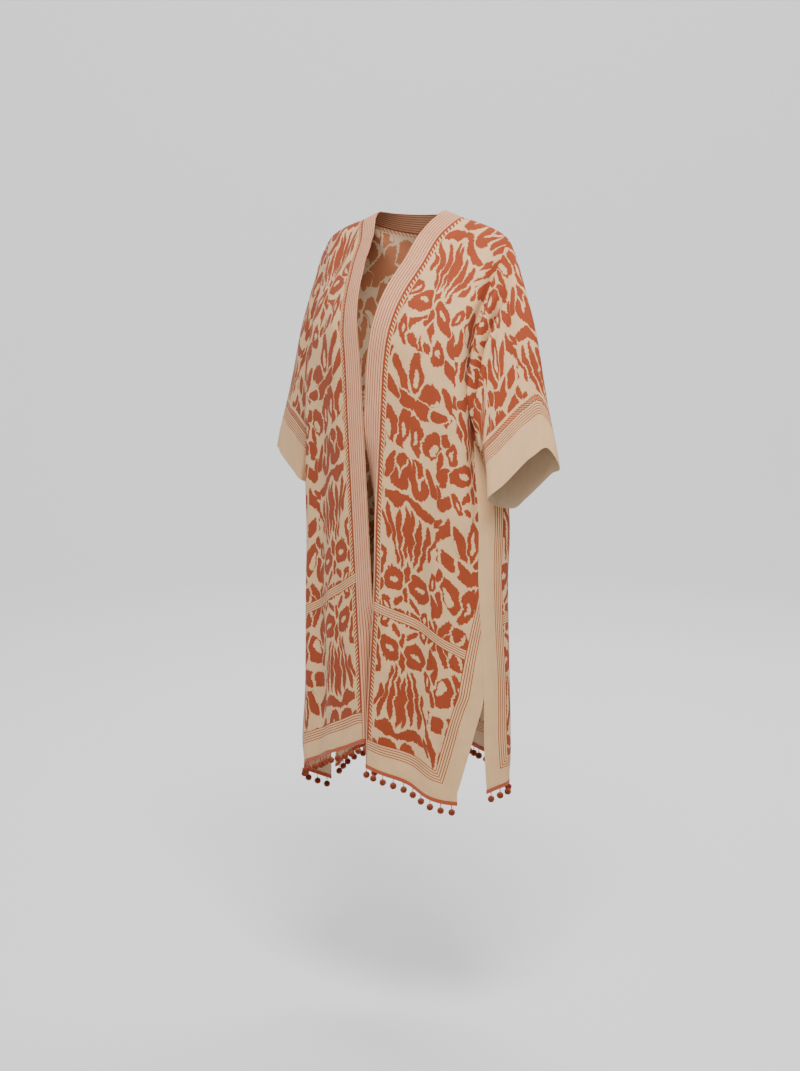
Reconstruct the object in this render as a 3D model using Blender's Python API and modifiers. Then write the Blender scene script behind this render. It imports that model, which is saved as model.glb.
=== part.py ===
# Kimono coat worn open at the front, with wide elbow sleeves and pompom hems.
# Metres, +Z up. The front faces -Y and the wearer's left is +X. The origin lies midway
# between the two high shoulder points, where the wearer's shoulders carry the coat.

import math
from collections import namedtuple

import bmesh
import bpy
import numpy as np
from mathutils import Matrix, Vector

# Cloth and seams
WALL = 0.0016
SEAM_SET_BACK = 0.0002
STEEPEST_SEAM_TURN = math.radians(136.0)
BAND_WIDTH = 0.038
BAND_TURN_RUN = 0.010
BAND_STRAIGHT_Z = -0.370
BAND_HEM_TURN = 2.0

# Shoulder line, from the high shoulder point down to the dropped shoulder's tip
NECK_HALF_WIDTH = 0.0757
NECK_BACKSET = 0.0155
TIP_HALF_WIDTH = 0.210
TIP_BACKSET = 0.025
TIP_FALL = 0.052
SHOULDER_BEND = 1.12

# Back neck, where the band runs round behind the neck
NECK_ROUND_DEPTH = 0.045
NECK_ROUND_FALL = 0.006
BAND_BACK_REACH = 0.022
BAND_BACK_FALL = 0.0235

# Heights where the rows of every panel line up
CENTRE_UNDERARM_Z = -0.385
NECK_UNDERARM_Z = -0.378
UNDERARM_Z = -0.405
CENTRE_SLIT_Z = -0.800
SLIT_TOP_Z = -0.850

# Rows down a panel and columns across it
ARMHOLE_ROWS = 12
SIDE_ROWS = 8
SLIT_ROWS = 4
ROW_GROWTH = 2.2
FRONT_COLUMNS = 15
FRONT_COLUMN_GROWTH = 1.35
BACK_NECK_COLUMNS = 5
BACK_SHOULDER_COLUMNS = 9
BACK_EDGE_HOLD = 8
BAND_RUNS = [0.0, 0.0022, 0.0045, 0.0070, 0.0100, 0.0220, BAND_WIDTH]
BAND_ROLL_STEPS = 24

# Pompom trim
TAPE_HEIGHT = 0.007
TAPE_THICKNESS = 0.0026
TAPE_GAP = 0.0007
# Added where the hem slopes, per metre of fall in a metre
TAPE_STEEP_GAP = 0.0008
STRING_LENGTH = 0.0065
STRING_WIDTH = 0.0020
STRING_INTO_TAPE = 0.55
BALL_DIAMETER = 0.0122
POMPOM_SPACING = 0.0196

# A place well inside the coat, which its outer faces look away from
COAT_MIDDLE = np.array([0.0, 0.03, -0.5])

# Half widths and depths of the body of the coat, measured to its outer face
Girth = namedtuple("Girth", "z left right front back")
GIRTHS = [
    Girth(0.000, 0.213, 0.213, 0.121, 0.100),
    Girth(-0.200, 0.214, 0.214, 0.121, 0.118),
    Girth(-0.400, 0.217, 0.218, 0.121, 0.128),
    Girth(-0.530, 0.220, 0.222, 0.121, 0.132),
    Girth(-0.660, 0.212, 0.225, 0.121, 0.121),
    Girth(-0.850, 0.216, 0.228, 0.121, 0.121),
    Girth(-1.030, 0.219, 0.238, 0.122, 0.123),
]

# How much of the way from the shoulder line out to the body the cloth has gone, by its drop
Drape = namedtuple("Drape", "drop front back")
DRAPES = [
    Drape(0.000, 0.000, 0.000),
    Drape(0.0015, 0.055, 0.060),
    Drape(0.006, 0.110, 0.130),
    Drape(0.020, 0.220, 0.330),
    Drape(0.052, 0.400, 0.600),
    Drape(0.093, 0.610, 0.800),
    Drape(0.130, 0.790, 0.910),
    Drape(0.170, 0.920, 0.970),
    Drape(0.215, 0.990, 1.000),
    Drape(0.280, 1.000, 1.000),
    Drape(1.200, 1.000, 1.000),
]

# Neck edge of the band, which makes the V of the front
NeckEdge = namedtuple("NeckEdge", "z x")
NECK_EDGES = [
    NeckEdge(0.000, 0.0757),
    NeckEdge(-0.052, 0.0505),
    NeckEdge(-0.093, 0.0430),
    NeckEdge(-0.130, 0.0320),
    NeckEdge(-0.170, 0.0226),
    NeckEdge(-0.215, 0.0145),
    NeckEdge(-0.275, 0.0067),
    NeckEdge(-0.370, 0.0012),
]

# Seam between panel and band, and how far the band is turned in behind it, in degrees
FrontEdge = namedtuple("FrontEdge", "z left_x right_x left_turn right_turn lift")
FRONT_EDGES = [
    FrontEdge(-0.013, 0.1125, -0.1125, 0.0, 0.0, 0.000),
    FrontEdge(-0.052, 0.0880, -0.0880, 0.0, 0.0, 0.000),
    FrontEdge(-0.093, 0.0805, -0.0805, 0.0, 0.0, 0.000),
    FrontEdge(-0.130, 0.0695, -0.0695, 0.0, 0.0, 0.000),
    FrontEdge(-0.170, 0.0602, -0.0602, 0.0, 0.0, 0.000),
    FrontEdge(-0.215, 0.0523, -0.0523, 0.0, 0.0, 0.000),
    FrontEdge(-0.275, 0.0446, -0.0446, 0.0, 0.0, 0.000),
    FrontEdge(-0.370, 0.0392, -0.0392, 0.0, 0.0, 0.000),
    FrontEdge(-0.450, 0.0355, -0.0340, 25.0, 0.0, 0.001),
    FrontEdge(-0.550, 0.0320, -0.0275, 62.0, 0.0, 0.003),
    FrontEdge(-0.650, 0.0300, -0.0210, 88.0, 0.0, 0.004),
    FrontEdge(-0.700, 0.0285, -0.0180, 94.0, 5.0, 0.005),
    FrontEdge(-0.750, 0.0250, -0.0150, 95.0, 45.0, 0.005),
    FrontEdge(-0.820, 0.0200, -0.0105, 96.0, 74.0, 0.005),
    FrontEdge(-0.930, 0.0130, -0.0050, 96.0, 88.0, 0.005),
    FrontEdge(-0.990, 0.0120, -0.0045, 96.0, 90.0, 0.005),
]

# Where the armhole, side seam and slit run round the body, in degrees from the centre front,
# and how deep the cloth is tucked in there under the arm
SideEdge = namedtuple("SideEdge", "z front_turn back_turn front_tuck back_tuck right_shift right_tuck")
SIDE_EDGES = [
    SideEdge(-0.052, 80.0, 107.0, 0.000, 0.000, 0.0, 0.000),
    SideEdge(-0.080, 76.5, 108.0, 0.001, 0.001, 0.0, 0.000),
    SideEdge(-0.115, 72.5, 110.0, 0.008, 0.004, 0.0, 0.000),
    SideEdge(-0.150, 69.5, 112.0, 0.015, 0.008, 0.5, 0.000),
    SideEdge(-0.210, 66.5, 113.0, 0.026, 0.014, 1.5, 0.000),
    SideEdge(-0.290, 66.0, 111.0, 0.032, 0.020, 3.0, 0.000),
    SideEdge(-0.345, 66.5, 99.0, 0.031, 0.026, 4.0, 0.000),
    SideEdge(-0.405, 67.5, 67.5, 0.028, 0.028, 5.0, 0.000),
    SideEdge(-0.450, 68.0, 68.0, 0.027, 0.027, 5.0, 0.000),
    SideEdge(-0.520, 69.0, 69.0, 0.018, 0.018, 4.0, 0.000),
    SideEdge(-0.600, 69.5, 69.5, 0.006, 0.006, 3.0, 0.000),
    SideEdge(-0.700, 71.0, 71.0, 0.000, 0.000, 4.0, 0.000),
    SideEdge(-0.850, 73.5, 73.5, 0.000, 0.000, 10.0, 0.004),
    SideEdge(-0.930, 65.5, 73.4, 0.000, 0.000, 18.0, 0.018),
    SideEdge(-1.030, 54.0, 75.5, 0.000, 0.000, 30.0, 0.050),
]
FRONT_TUCK_SPREAD = 6.5
BACK_TUCK_SPREAD = 11.0
SIDE_TUCK_SPREAD = 32.0
BACK_TUCK_TURNS = (75.0, 105.0)
LIFT_SPREAD = 6.0

# Hem height by the turn round the body from the centre front, on each side
Hem = namedtuple("Hem", "turn left right")
HEMS = [
    Hem(0.0, -0.991, -0.947),
    Hem(12.0, -1.002, -0.969),
    Hem(25.0, -1.016, -0.989),
    Hem(37.0, -1.035, -1.008),
    Hem(48.0, -1.0450, -1.024),
    Hem(54.0, -1.0455, -1.032),
    Hem(66.0, -1.034, -1.043),
    Hem(75.5, -1.026, -1.060),
    Hem(84.0, -1.0215, -1.073),
    Hem(105.5, -1.012, -1.053),
    Hem(117.0, -1.008, -1.043),
    Hem(127.0, -1.004, -1.031),
    Hem(140.0, -0.998, -1.016),
    Hem(160.0, -0.989, -0.996),
    Hem(180.0, -0.990, -0.990),
]

# Soft folds of the body: ridges rise and troughs sink, with their line and spread in degrees
Fold = namedtuple("Fold", "side top_turn low_turn z_top rise spread")
FOLDS = [
    Fold("left", 31.0, 24.0, -0.50, -0.0070, 8.0),
    Fold("left", 44.0, 40.0, -0.42, 0.0050, 7.0),
    Fold("left", 17.0, 11.0, -0.62, 0.0040, 6.0),
    Fold("left", 58.0, 47.0, -0.66, -0.0050, 6.0),
    Fold("right", 52.0, 47.0, -0.24, 0.0060, 6.0),
    Fold("right", 40.0, 36.0, -0.34, -0.0060, 7.0),
    Fold("right", 27.0, 22.0, -0.52, 0.0045, 7.0),
    Fold("right", 62.0, 60.0, -0.45, -0.0040, 5.0),
    Fold("left", 104.0, 97.0, -0.46, 0.0080, 9.0),
    Fold("left", 122.0, 117.0, -0.30, -0.0090, 9.0),
    Fold("left", 139.0, 137.0, -0.24, 0.0090, 8.0),
    Fold("left", 155.0, 155.0, -0.36, -0.0070, 8.0),
    Fold("left", 170.0, 172.0, -0.28, 0.0060, 8.0),
    Fold("right", 173.0, 176.0, -0.50, -0.0060, 7.0),
    Fold("right", 158.0, 160.0, -0.26, 0.0080, 8.0),
    Fold("right", 143.0, 144.0, -0.34, -0.0080, 7.0),
    Fold("right", 129.0, 127.0, -0.24, 0.0100, 8.0),
    Fold("right", 115.0, 116.0, -0.40, -0.0120, 8.0),
    Fold("right", 101.0, 102.0, -0.50, 0.0100, 8.0),
]
FOLD_LOW_Z = -1.0
FOLD_FADE = 0.16

# Edge of the left cuff, from its outer corner along the front to the underside and back
Cuff = namedtuple("Cuff", "place left_x left_y left_z right_x right_y right_z")
CUFFS = [
    Cuff("outer corner", 0.333, 0.014, -0.442, 0.339, 0.014, -0.446),
    Cuff("front pinch", 0.318, -0.003, -0.407, 0.325, 0.002, -0.450),
    Cuff("front upper", 0.301, -0.022, -0.421, 0.308, -0.010, -0.458),
    Cuff("front middle", 0.290, -0.031, -0.433, 0.286, -0.020, -0.469),
    Cuff("front lower", 0.262, -0.052, -0.470, 0.254, -0.034, -0.484),
    Cuff("front corner", 0.236, -0.065, -0.496, 0.225, -0.045, -0.498),
    Cuff("underside", 0.226, -0.022, -0.514, 0.223, -0.006, -0.512),
    Cuff("back corner", 0.232, 0.018, -0.521, 0.230, 0.034, -0.520),
    Cuff("back lower", 0.247, 0.033, -0.504, 0.258, 0.048, -0.504),
    Cuff("back middle", 0.271, 0.038, -0.481, 0.290, 0.046, -0.481),
    Cuff("back upper", 0.302, 0.033, -0.456, 0.320, 0.034, -0.460),
]
CUFF_UNDERSIDE = 6
CUFF_EVENNESS = 0.65
CUFF_STEPS = 12

# Rings of a sleeve by the distance from the armhole, then evenly to the cuff
NEAR_RINGS = [0.0, 0.012, 0.023, 0.034, 0.044, 0.053, 0.064, 0.080]
FAR_RINGS = 6
SHORTEST_FULL_SLEEVE = 2.2 * NEAR_RINGS[-1]
SLEEVE_CAP_RISE = 0.013
SLEEVE_CAP_SHARE = 0.62
SLEEVE_CAP_ROWS = 9.6
SLEEVE_CAP_OUT = np.array([0.93, 0.0, 0.36])
SLEEVE_SIDE_SWELL = 0.008
SLEEVE_SWELL_ROWS = (5, 10)

# Folds of a sleeve beside the armhole, by the distance from it, and the row where each ends
SleeveFold = namedtuple("SleeveFold", "face distance left_rise right_rise spread last_row")
SLEEVE_FOLDS = [
    SleeveFold("front", 0.025, 0.017, 0.008, 0.0120, 12.0),
    SleeveFold("front", 0.047, -0.021, -0.014, 0.0085, 12.0),
    SleeveFold("front", 0.066, 0.009, 0.007, 0.0120, 12.0),
    SleeveFold("back", 0.028, 0.010, 0.007, 0.0120, 10.0),
    SleeveFold("back", 0.052, -0.010, -0.010, 0.0110, 10.0),
]
SLEEVE_FOLD_TOP_Z = -0.085
SLEEVE_FOLD_FADE = 0.10
SLEEVE_FOLD_END = 2.0


def read(table, column, key, at):
    """Value of a table's column at a place along its key, on a smooth curve."""
    keys = [getattr(row, key) for row in table]
    values = [getattr(row, column) for row in table]
    if keys[0] > keys[-1]:
        keys = [-k for k in keys]
        at = -at
    at = min(max(at, keys[0]), keys[-1])
    step = max(i for i in range(len(keys) - 1) if keys[i] <= at)
    rates = np.diff(values) / np.diff(keys)
    before, here, after = (rates[min(max(step + k, 0), len(rates) - 1)] for k in (-1, 0, 1))
    start_rate = joint_rate(before, here)
    end_rate = joint_rate(here, after)
    span = keys[step + 1] - keys[step]
    t = (at - keys[step]) / span
    start = values[step] * (1 + 2 * t) + start_rate * span * t
    end = values[step + 1] * (3 - 2 * t) - end_rate * span * (1 - t)
    return start * (1 - t) ** 2 + end * t ** 2


def joint_rate(before, after):
    """Slope of a smooth curve where two steps of a table meet, which never overshoots."""
    if before * after <= 0:
        return 0.0
    return 2 * before * after / (before + after)


def mix(a, b, t):
    return a + (b - a) * t


def ease(t):
    t = min(max(t, 0.0), 1.0)
    return t * t * (3 - 2 * t)


def between(value, ends):
    """Smooth share of the way from one end to the other."""
    return ease((value - ends[0]) / (ends[1] - ends[0]))


def bell(offset, spread):
    return math.exp(-(offset / spread) ** 2)


def shoulder_point(x):
    """Point of the shoulder line at a half width."""
    share = (x - NECK_HALF_WIDTH) / (TIP_HALF_WIDTH - NECK_HALF_WIDTH)
    y = mix(NECK_BACKSET, TIP_BACKSET, share)
    z = -TIP_FALL * share ** SHOULDER_BEND
    return np.array([x, y, z])


def fold_rise(side, turn, z):
    """How far the body's folds lift the cloth at a turn and a height."""
    rise = 0.0
    for fold in FOLDS:
        if fold.side != side:
            continue
        share = (fold.z_top - z) / (fold.z_top - FOLD_LOW_Z)
        line = mix(fold.top_turn, fold.low_turn, share)
        rise += fold.rise * ease((fold.z_top - z) / FOLD_FADE) * bell(turn - line, fold.spread)
    return rise


def body_point(side, panel, top, turn, z, tuck_turn, tuck):
    """Outer face of a body panel, for the wearer's left, at a turn round it and a height."""
    half = read(GIRTHS, side, "z", z)
    depth = read(GIRTHS, "front" if turn < 90.0 else "back", "z", z)
    angle = math.radians(turn)
    x = half * math.sin(angle)
    y = -depth * math.cos(angle)
    out = np.array([math.sin(angle) / half, -math.cos(angle) / depth])
    out /= np.linalg.norm(out)
    spread = FRONT_TUCK_SPREAD
    if panel == "back":
        spread = mix(SIDE_TUCK_SPREAD, BACK_TUCK_SPREAD, between(tuck_turn, BACK_TUCK_TURNS))
    rise = fold_rise(side, turn, z) - tuck * bell(turn - tuck_turn, spread)
    drop = max(top[2] - z, 0.0)
    share = read(DRAPES, panel, "drop", drop)
    y = mix(top[1], y, share) + out[1] * rise
    return np.array([x + out[0] * rise, y, z])


def row_share(row):
    return (row / ARMHOLE_ROWS) ** ROW_GROWTH


def row_height(row, top, underarm, slit, hem):
    """Height of a row, on a column with these four heights."""
    if row <= ARMHOLE_ROWS:
        return mix(top, underarm, row_share(row))
    if row <= ARMHOLE_ROWS + SIDE_ROWS:
        return mix(underarm, slit, (row - ARMHOLE_ROWS) / SIDE_ROWS)
    return mix(slit, hem, (row - ARMHOLE_ROWS - SIDE_ROWS) / SLIT_ROWS)


ROWS = ARMHOLE_ROWS + SIDE_ROWS + SLIT_ROWS


def hem_height(side, turn):
    return read(HEMS, side, "turn", turn)


def band_seam(side, row):
    """Turn and height of the seam between a front and its band."""
    top_z = shoulder_point(NECK_HALF_WIDTH + BAND_WIDTH)[2]
    hem_z = hem_height(side, BAND_HEM_TURN)
    z = row_height(row, top_z, CENTRE_UNDERARM_Z, CENTRE_SLIT_Z, hem_z)
    x = read(FRONT_EDGES, side + "_x", "z", z)
    if side == "right":
        x = -x
    half = read(GIRTHS, side, "z", z)
    return math.degrees(math.asin(x / half)), z


def side_edge(side, panel, row):
    """Turn, height and tuck of the edge where a panel meets the sleeve or the side seam."""
    hem_turn = SIDE_EDGES[-1].front_turn if panel == "front" else SIDE_EDGES[-1].back_turn
    if side == "right":
        hem_turn += SIDE_EDGES[-1].right_shift
    z = row_height(row, -TIP_FALL, UNDERARM_Z, SLIT_TOP_Z, hem_height(side, hem_turn))
    turn = read(SIDE_EDGES, panel + "_turn", "z", z)
    tuck = read(SIDE_EDGES, panel + "_tuck", "z", z)
    if side == "right":
        turn += read(SIDE_EDGES, "right_shift", "z", z)
        tuck += read(SIDE_EDGES, "right_tuck", "z", z)
    return turn, z, tuck


def front_column(share):
    """Columns stand closer together towards the armhole."""
    return 1 - (1 - share) ** FRONT_COLUMN_GROWTH


def front_points(side):
    """Grid of a front panel, for the wearer's left, rows from the shoulder to the hem."""
    grid = np.zeros((ROWS + 1, FRONT_COLUMNS + 1, 3))
    inner_x = NECK_HALF_WIDTH + BAND_WIDTH
    for row in range(ROWS + 1):
        seam_turn, seam_z = band_seam(side, row)
        edge_turn, edge_z, tuck = side_edge(side, "front", row)
        for column in range(FRONT_COLUMNS + 1):
            share = front_column(column / FRONT_COLUMNS)
            top = shoulder_point(mix(inner_x, TIP_HALF_WIDTH, share))
            turn = mix(seam_turn, edge_turn, share)
            z = mix(seam_z, edge_z, share)
            if row > ARMHOLE_ROWS + SIDE_ROWS:
                slit_share = (row - ARMHOLE_ROWS - SIDE_ROWS) / SLIT_ROWS
                z = mix(mix(CENTRE_SLIT_Z, SLIT_TOP_Z, share), hem_height(side, turn), slit_share)
            if row == 0:
                z = top[2]
            grid[row, column] = body_point(side, "front", top, turn, z, edge_turn, tuck)
            lift = read(FRONT_EDGES, "lift", "z", z)
            grid[row, column, 1] -= lift * bell(turn - seam_turn, LIFT_SPREAD) * (side == "left")
    return grid


def back_top(share):
    """Top edge of the back: the band's seam round the neck, then the shoulder line."""
    corner = BACK_NECK_COLUMNS / (BACK_NECK_COLUMNS + BACK_SHOULDER_COLUMNS)
    if share >= corner:
        along = (share - corner) / (1 - corner)
        return shoulder_point(mix(NECK_HALF_WIDTH + BAND_WIDTH, TIP_HALF_WIDTH, along))
    return neck_round(1 - share / corner, 1.0)


def neck_round(round_share, band_share):
    """Point of the band behind the neck, from the shoulder (0) to the centre back (1)."""
    angle = round_share * math.pi / 2
    corner = shoulder_point(NECK_HALF_WIDTH + BAND_WIDTH * band_share)
    x = corner[0] * math.cos(angle)
    y = corner[1] + (NECK_ROUND_DEPTH + BAND_BACK_REACH * band_share) * math.sin(angle)
    z = corner[2] - (NECK_ROUND_FALL + BAND_BACK_FALL * band_share) * math.sin(angle)
    return np.array([x, y, z])


def back_points(side):
    """Half of the back's grid, for the wearer's left, columns from the centre to the side."""
    columns = BACK_NECK_COLUMNS + BACK_SHOULDER_COLUMNS
    grid = np.zeros((ROWS + 1, columns + 1, 3))
    for row in range(ROWS + 1):
        edge_turn, edge_z, tuck = side_edge(side, "back", row)
        for column in range(columns + 1):
            share = column / columns
            top = back_top(share)
            wide = 180.0 - math.degrees(math.asin(top[0] / GIRTHS[0].left))
            low = mix(180.0, edge_turn, share)
            blend = ease(row / ARMHOLE_ROWS)
            turn = mix(wide, low, blend) if row < ARMHOLE_ROWS else low
            if row < ARMHOLE_ROWS:
                turn = mix(turn, edge_turn, share ** BACK_EDGE_HOLD)
            underarm = mix(CENTRE_UNDERARM_Z, UNDERARM_Z, share)
            slit = mix(CENTRE_SLIT_Z, SLIT_TOP_Z, share)
            z = row_height(row, top[2], underarm, slit, hem_height(side, turn))
            if column == columns:
                z = edge_z
            grid[row, column] = body_point(side, "back", top, turn, z, edge_turn, tuck)
    return grid


def cuff_curve(side):
    """Closed smooth curve through the cuff's points, and the place of its underside on it."""
    knots = [np.array([getattr(row, side + axis) for axis in ("_x", "_y", "_z")]) for row in CUFFS]
    count = len(knots)
    points = []
    for i in range(count):
        before, start, end, after = (knots[(i + k) % count] for k in (-1, 0, 1, 2))
        for j in range(CUFF_STEPS):
            t = j / CUFF_STEPS
            a = 2 * start
            b = (end - before) * t
            c = (2 * before - 5 * start + 4 * end - after) * t ** 2
            d = (3 * start - before - 3 * end + after) * t ** 3
            points.append((a + b + c + d) / 2)
    return points, CUFF_UNDERSIDE * CUFF_STEPS


def along_path(points, share):
    """Point at a share of a path's length."""
    lengths = [0.0]
    for a, b in zip(points, points[1:]):
        lengths.append(lengths[-1] + float(np.linalg.norm(b - a)))
    target = share * lengths[-1]
    step = max(i for i in range(len(points) - 1) if lengths[i] <= target + 1e-9)
    span = lengths[step + 1] - lengths[step]
    return mix(points[step], points[step + 1], (target - lengths[step]) / span)


def sleeve_points(side, front, back):
    """Closed rings of a sleeve, for the wearer's left, from the armhole to the cuff."""
    front_side = list(front[: ARMHOLE_ROWS + 1, -1])
    back_side = list(back[: ARMHOLE_ROWS + 1, -1])
    armhole = front_side + back_side[-2:0:-1]
    curve, underside = cuff_curve(side)
    front_edge = curve[: underside + 1]
    back_edge = curve[underside:] + curve[:1]
    cuff = []
    for i in range(2 * ARMHOLE_ROWS):
        row = i if i <= ARMHOLE_ROWS else 2 * ARMHOLE_ROWS - i
        share = mix(row_share(row), row / ARMHOLE_ROWS, CUFF_EVENNESS)
        if i <= ARMHOLE_ROWS:
            cuff.append(along_path(front_edge, share))
        else:
            cuff.append(along_path(back_edge, 1 - share))
    count = len(armhole)
    rings = len(NEAR_RINGS) + FAR_RINGS
    grid = np.zeros((rings, count, 3))
    away = np.zeros((rings, count))
    for i in range(count):
        length = float(np.linalg.norm(cuff[i] - armhole[i]))
        squeeze = min(1.0, length / SHORTEST_FULL_SLEEVE)
        for ring in range(rings):
            if ring < len(NEAR_RINGS):
                distance = NEAR_RINGS[ring] * squeeze
            else:
                left = (ring - len(NEAR_RINGS) + 1) / FAR_RINGS
                distance = mix(NEAR_RINGS[-1] * squeeze, length, left)
            share = distance / length
            point = mix(armhole[i], cuff[i], share)
            height = SLEEVE_CAP_RISE * math.sin(math.pi * share ** SLEEVE_CAP_SHARE)
            row = min(i, count - i)
            topness = 1 - ease(row / SLEEVE_CAP_ROWS)
            point = point + SLEEVE_CAP_OUT * height * topness
            swell = SLEEVE_SIDE_SWELL * math.sin(math.pi * share ** SLEEVE_CAP_SHARE)
            point = point + np.array([swell * between(row, SLEEVE_SWELL_ROWS), 0.0, 0.0])
            grid[ring, i] = point
            away[ring, i] = distance / squeeze
    outward = grid_normals(grid)
    for i in range(count):
        row = min(i, count - i)
        strength = ease((SLEEVE_FOLD_TOP_Z - armhole[i][2]) / SLEEVE_FOLD_FADE)
        for fold in SLEEVE_FOLDS:
            if (fold.face == "front") != (i <= ARMHOLE_ROWS):
                continue
            lasting = ease((fold.last_row - row) / SLEEVE_FOLD_END)
            for ring in range(1, rings):
                rise = getattr(fold, side + "_rise") * strength * lasting
                rise *= bell(away[ring, i] - fold.distance, fold.spread) * ease(ring / 2)
                grid[ring, i] += outward[ring, i] * rise
    return grid


def grid_normals(grid):
    """Unit normals of a closed ring grid, pointing away from each ring's middle."""
    along = np.gradient(grid, axis=0)
    across = (np.roll(grid, -1, axis=1) - np.roll(grid, 1, axis=1)) / 2
    normal = np.cross(across, along)
    normal /= np.maximum(np.linalg.norm(normal, axis=2, keepdims=True), 1e-9)
    middle = grid.mean(axis=1, keepdims=True)
    facing = (normal * (grid - middle)).sum()
    return normal if facing > 0 else -normal


def band_points(side, front):
    """Grid of half of the band: from the hem up the front and round to the centre back."""
    rows = []
    for row in range(ROWS, -1, -1):
        seam_turn, seam_z = band_seam(side, row)
        hem_z = hem_height(side, BAND_HEM_TURN)
        neck_z = row_height(row, 0.0, NECK_UNDERARM_Z, CENTRE_SLIT_Z, hem_z)
        seam = front[row, 0]
        tilt = math.radians(read(FRONT_EDGES, side + "_turn", "z", seam_z))
        line = []
        if seam_z > BAND_STRAIGHT_Z:
            neck_x = read(NECK_EDGES, "x", "z", neck_z)
        else:
            neck_x = seam[0] - BAND_WIDTH
        for run in BAND_RUNS:
            share = run / BAND_WIDTH
            if tilt < 0.01:
                z = mix(seam_z, neck_z, share)
                x = mix(seam[0], neck_x, share)
                top = shoulder_point(NECK_HALF_WIDTH + BAND_WIDTH * (1 - share))
                turn = math.degrees(math.asin(x / read(GIRTHS, side, "z", z)))
                point = body_point(side, "front", top, turn, z, 90.0, 0.0)
                point[0] = x
            else:
                point = turned_point(seam, front[row, 1], tilt, run)
            line.append(point)
        rows.append(line)
    for step in range(1, BACK_NECK_COLUMNS + 1):
        round_share = step / BACK_NECK_COLUMNS
        line = [neck_round(round_share, 1 - run / BAND_WIDTH) for run in BAND_RUNS]
        rows.append(line)
    return np.array(rows)


def turned_point(seam, beside, tilt, run):
    """Point on the band where it is rolled in behind its seam with the panel."""
    x = seam[0]
    y = seam[1]
    start = math.atan2(seam[1] - beside[1], beside[0] - seam[0])
    for step in range(BAND_ROLL_STEPS):
        here = run * (step + 0.5) / BAND_ROLL_STEPS
        angle = mix(start, tilt, ease(here / BAND_TURN_RUN))
        x -= math.cos(angle) * run / BAND_ROLL_STEPS
        y += math.sin(angle) * run / BAND_ROLL_STEPS
    return np.array([x, y, seam[2]])


def unit(vectors):
    return vectors / np.maximum(np.linalg.norm(vectors, axis=-1, keepdims=True), 1e-9)


def back_from_edge(grid, axis, end):
    """Unit steps from one edge of a grid into its cloth, square to the edge."""
    lines = np.moveaxis(grid, axis, 0)
    edge, inner = (lines[0], lines[1]) if end == "first" else (lines[-1], lines[-2])
    along = unit(np.gradient(edge, axis=0))
    step = inner - edge
    return unit(step - along * (step * along).sum(axis=1, keepdims=True))


def seam_distance(back_a, back_b, outward):
    """How far two cloths stand back from their seam, which is further at a ridge."""
    turn = math.pi - np.arccos(np.clip((back_a * back_b).sum(axis=-1), -1.0, 1.0))
    turn = np.minimum(turn, STEEPEST_SEAM_TURN)
    ridge = ((back_a + back_b) * outward).sum(axis=-1) < 0
    distance = SEAM_SET_BACK + np.where(ridge, WALL * np.tan(turn / 2), 0.0)
    return distance[:, None]


def open_normals(grid):
    """Unit normals of a panel's outer face."""
    normal = unit(np.cross(np.gradient(grid, axis=1), np.gradient(grid, axis=0)))
    return -normal if faces_inward(grid, False) else normal


def part_shoulder(front, back):
    """Leaves the shoulder seam's gap between a front and the back."""
    back_part = back[0, BACK_NECK_COLUMNS:]
    front_step = back_from_edge(front, 0, "first")
    back_step = back_from_edge(back, 0, "first")
    x_front = front[0, :, 0]
    x_back = back_part[:, 0]
    beside = np.stack([np.interp(x_back, x_front, front_step[:, k]) for k in range(3)], axis=1)
    up = np.array([0.0, 0.0, 1.0])
    distance = seam_distance(back_step[BACK_NECK_COLUMNS:], unit(beside), up)
    front[0] += front_step * np.interp(x_front, x_back, distance[:, 0])[:, None]
    back[0, :BACK_NECK_COLUMNS] += back_step[:BACK_NECK_COLUMNS] * SEAM_SET_BACK
    back[0, BACK_NECK_COLUMNS:] += back_step[BACK_NECK_COLUMNS:] * distance


def part_armhole(front, back, sleeve):
    """Leaves the armhole seam's gap between both panels and the sleeve."""
    sleeve_step = back_from_edge(sleeve, 0, "first")
    down = np.arange(ARMHOLE_ROWS + 1)
    for panel, rings in ((front, down), (back, (len(sleeve_step) - down) % len(sleeve_step))):
        step = back_from_edge(panel, 1, "last")
        outward = open_normals(panel)[: ARMHOLE_ROWS + 1, -1]
        distance = seam_distance(step[: ARMHOLE_ROWS + 1], sleeve_step[rings], outward)
        panel[: ARMHOLE_ROWS + 1, -1] += step[: ARMHOLE_ROWS + 1] * distance
        panel[ARMHOLE_ROWS + 1 :, -1] += step[ARMHOLE_ROWS + 1 :] * SEAM_SET_BACK
        sleeve[0, rings] += sleeve_step[rings] * distance


def placed(grid, side):
    """A grid made for the wearer's left, on its own side."""
    return grid if side == "left" else grid * np.array([-1.0, 1.0, 1.0])


def faces_inward(grid, closed):
    """Whether a grid's faces, in their plain order, look towards the inside of the coat."""
    down = np.gradient(grid, axis=0)
    across = np.gradient(grid, axis=1)
    middle = COAT_MIDDLE
    if closed:
        across = (np.roll(grid, -1, axis=1) - np.roll(grid, 1, axis=1)) / 2
        middle = grid.mean(axis=1, keepdims=True)
    return (np.cross(across, down) * (grid - middle)).sum() < 0


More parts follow.
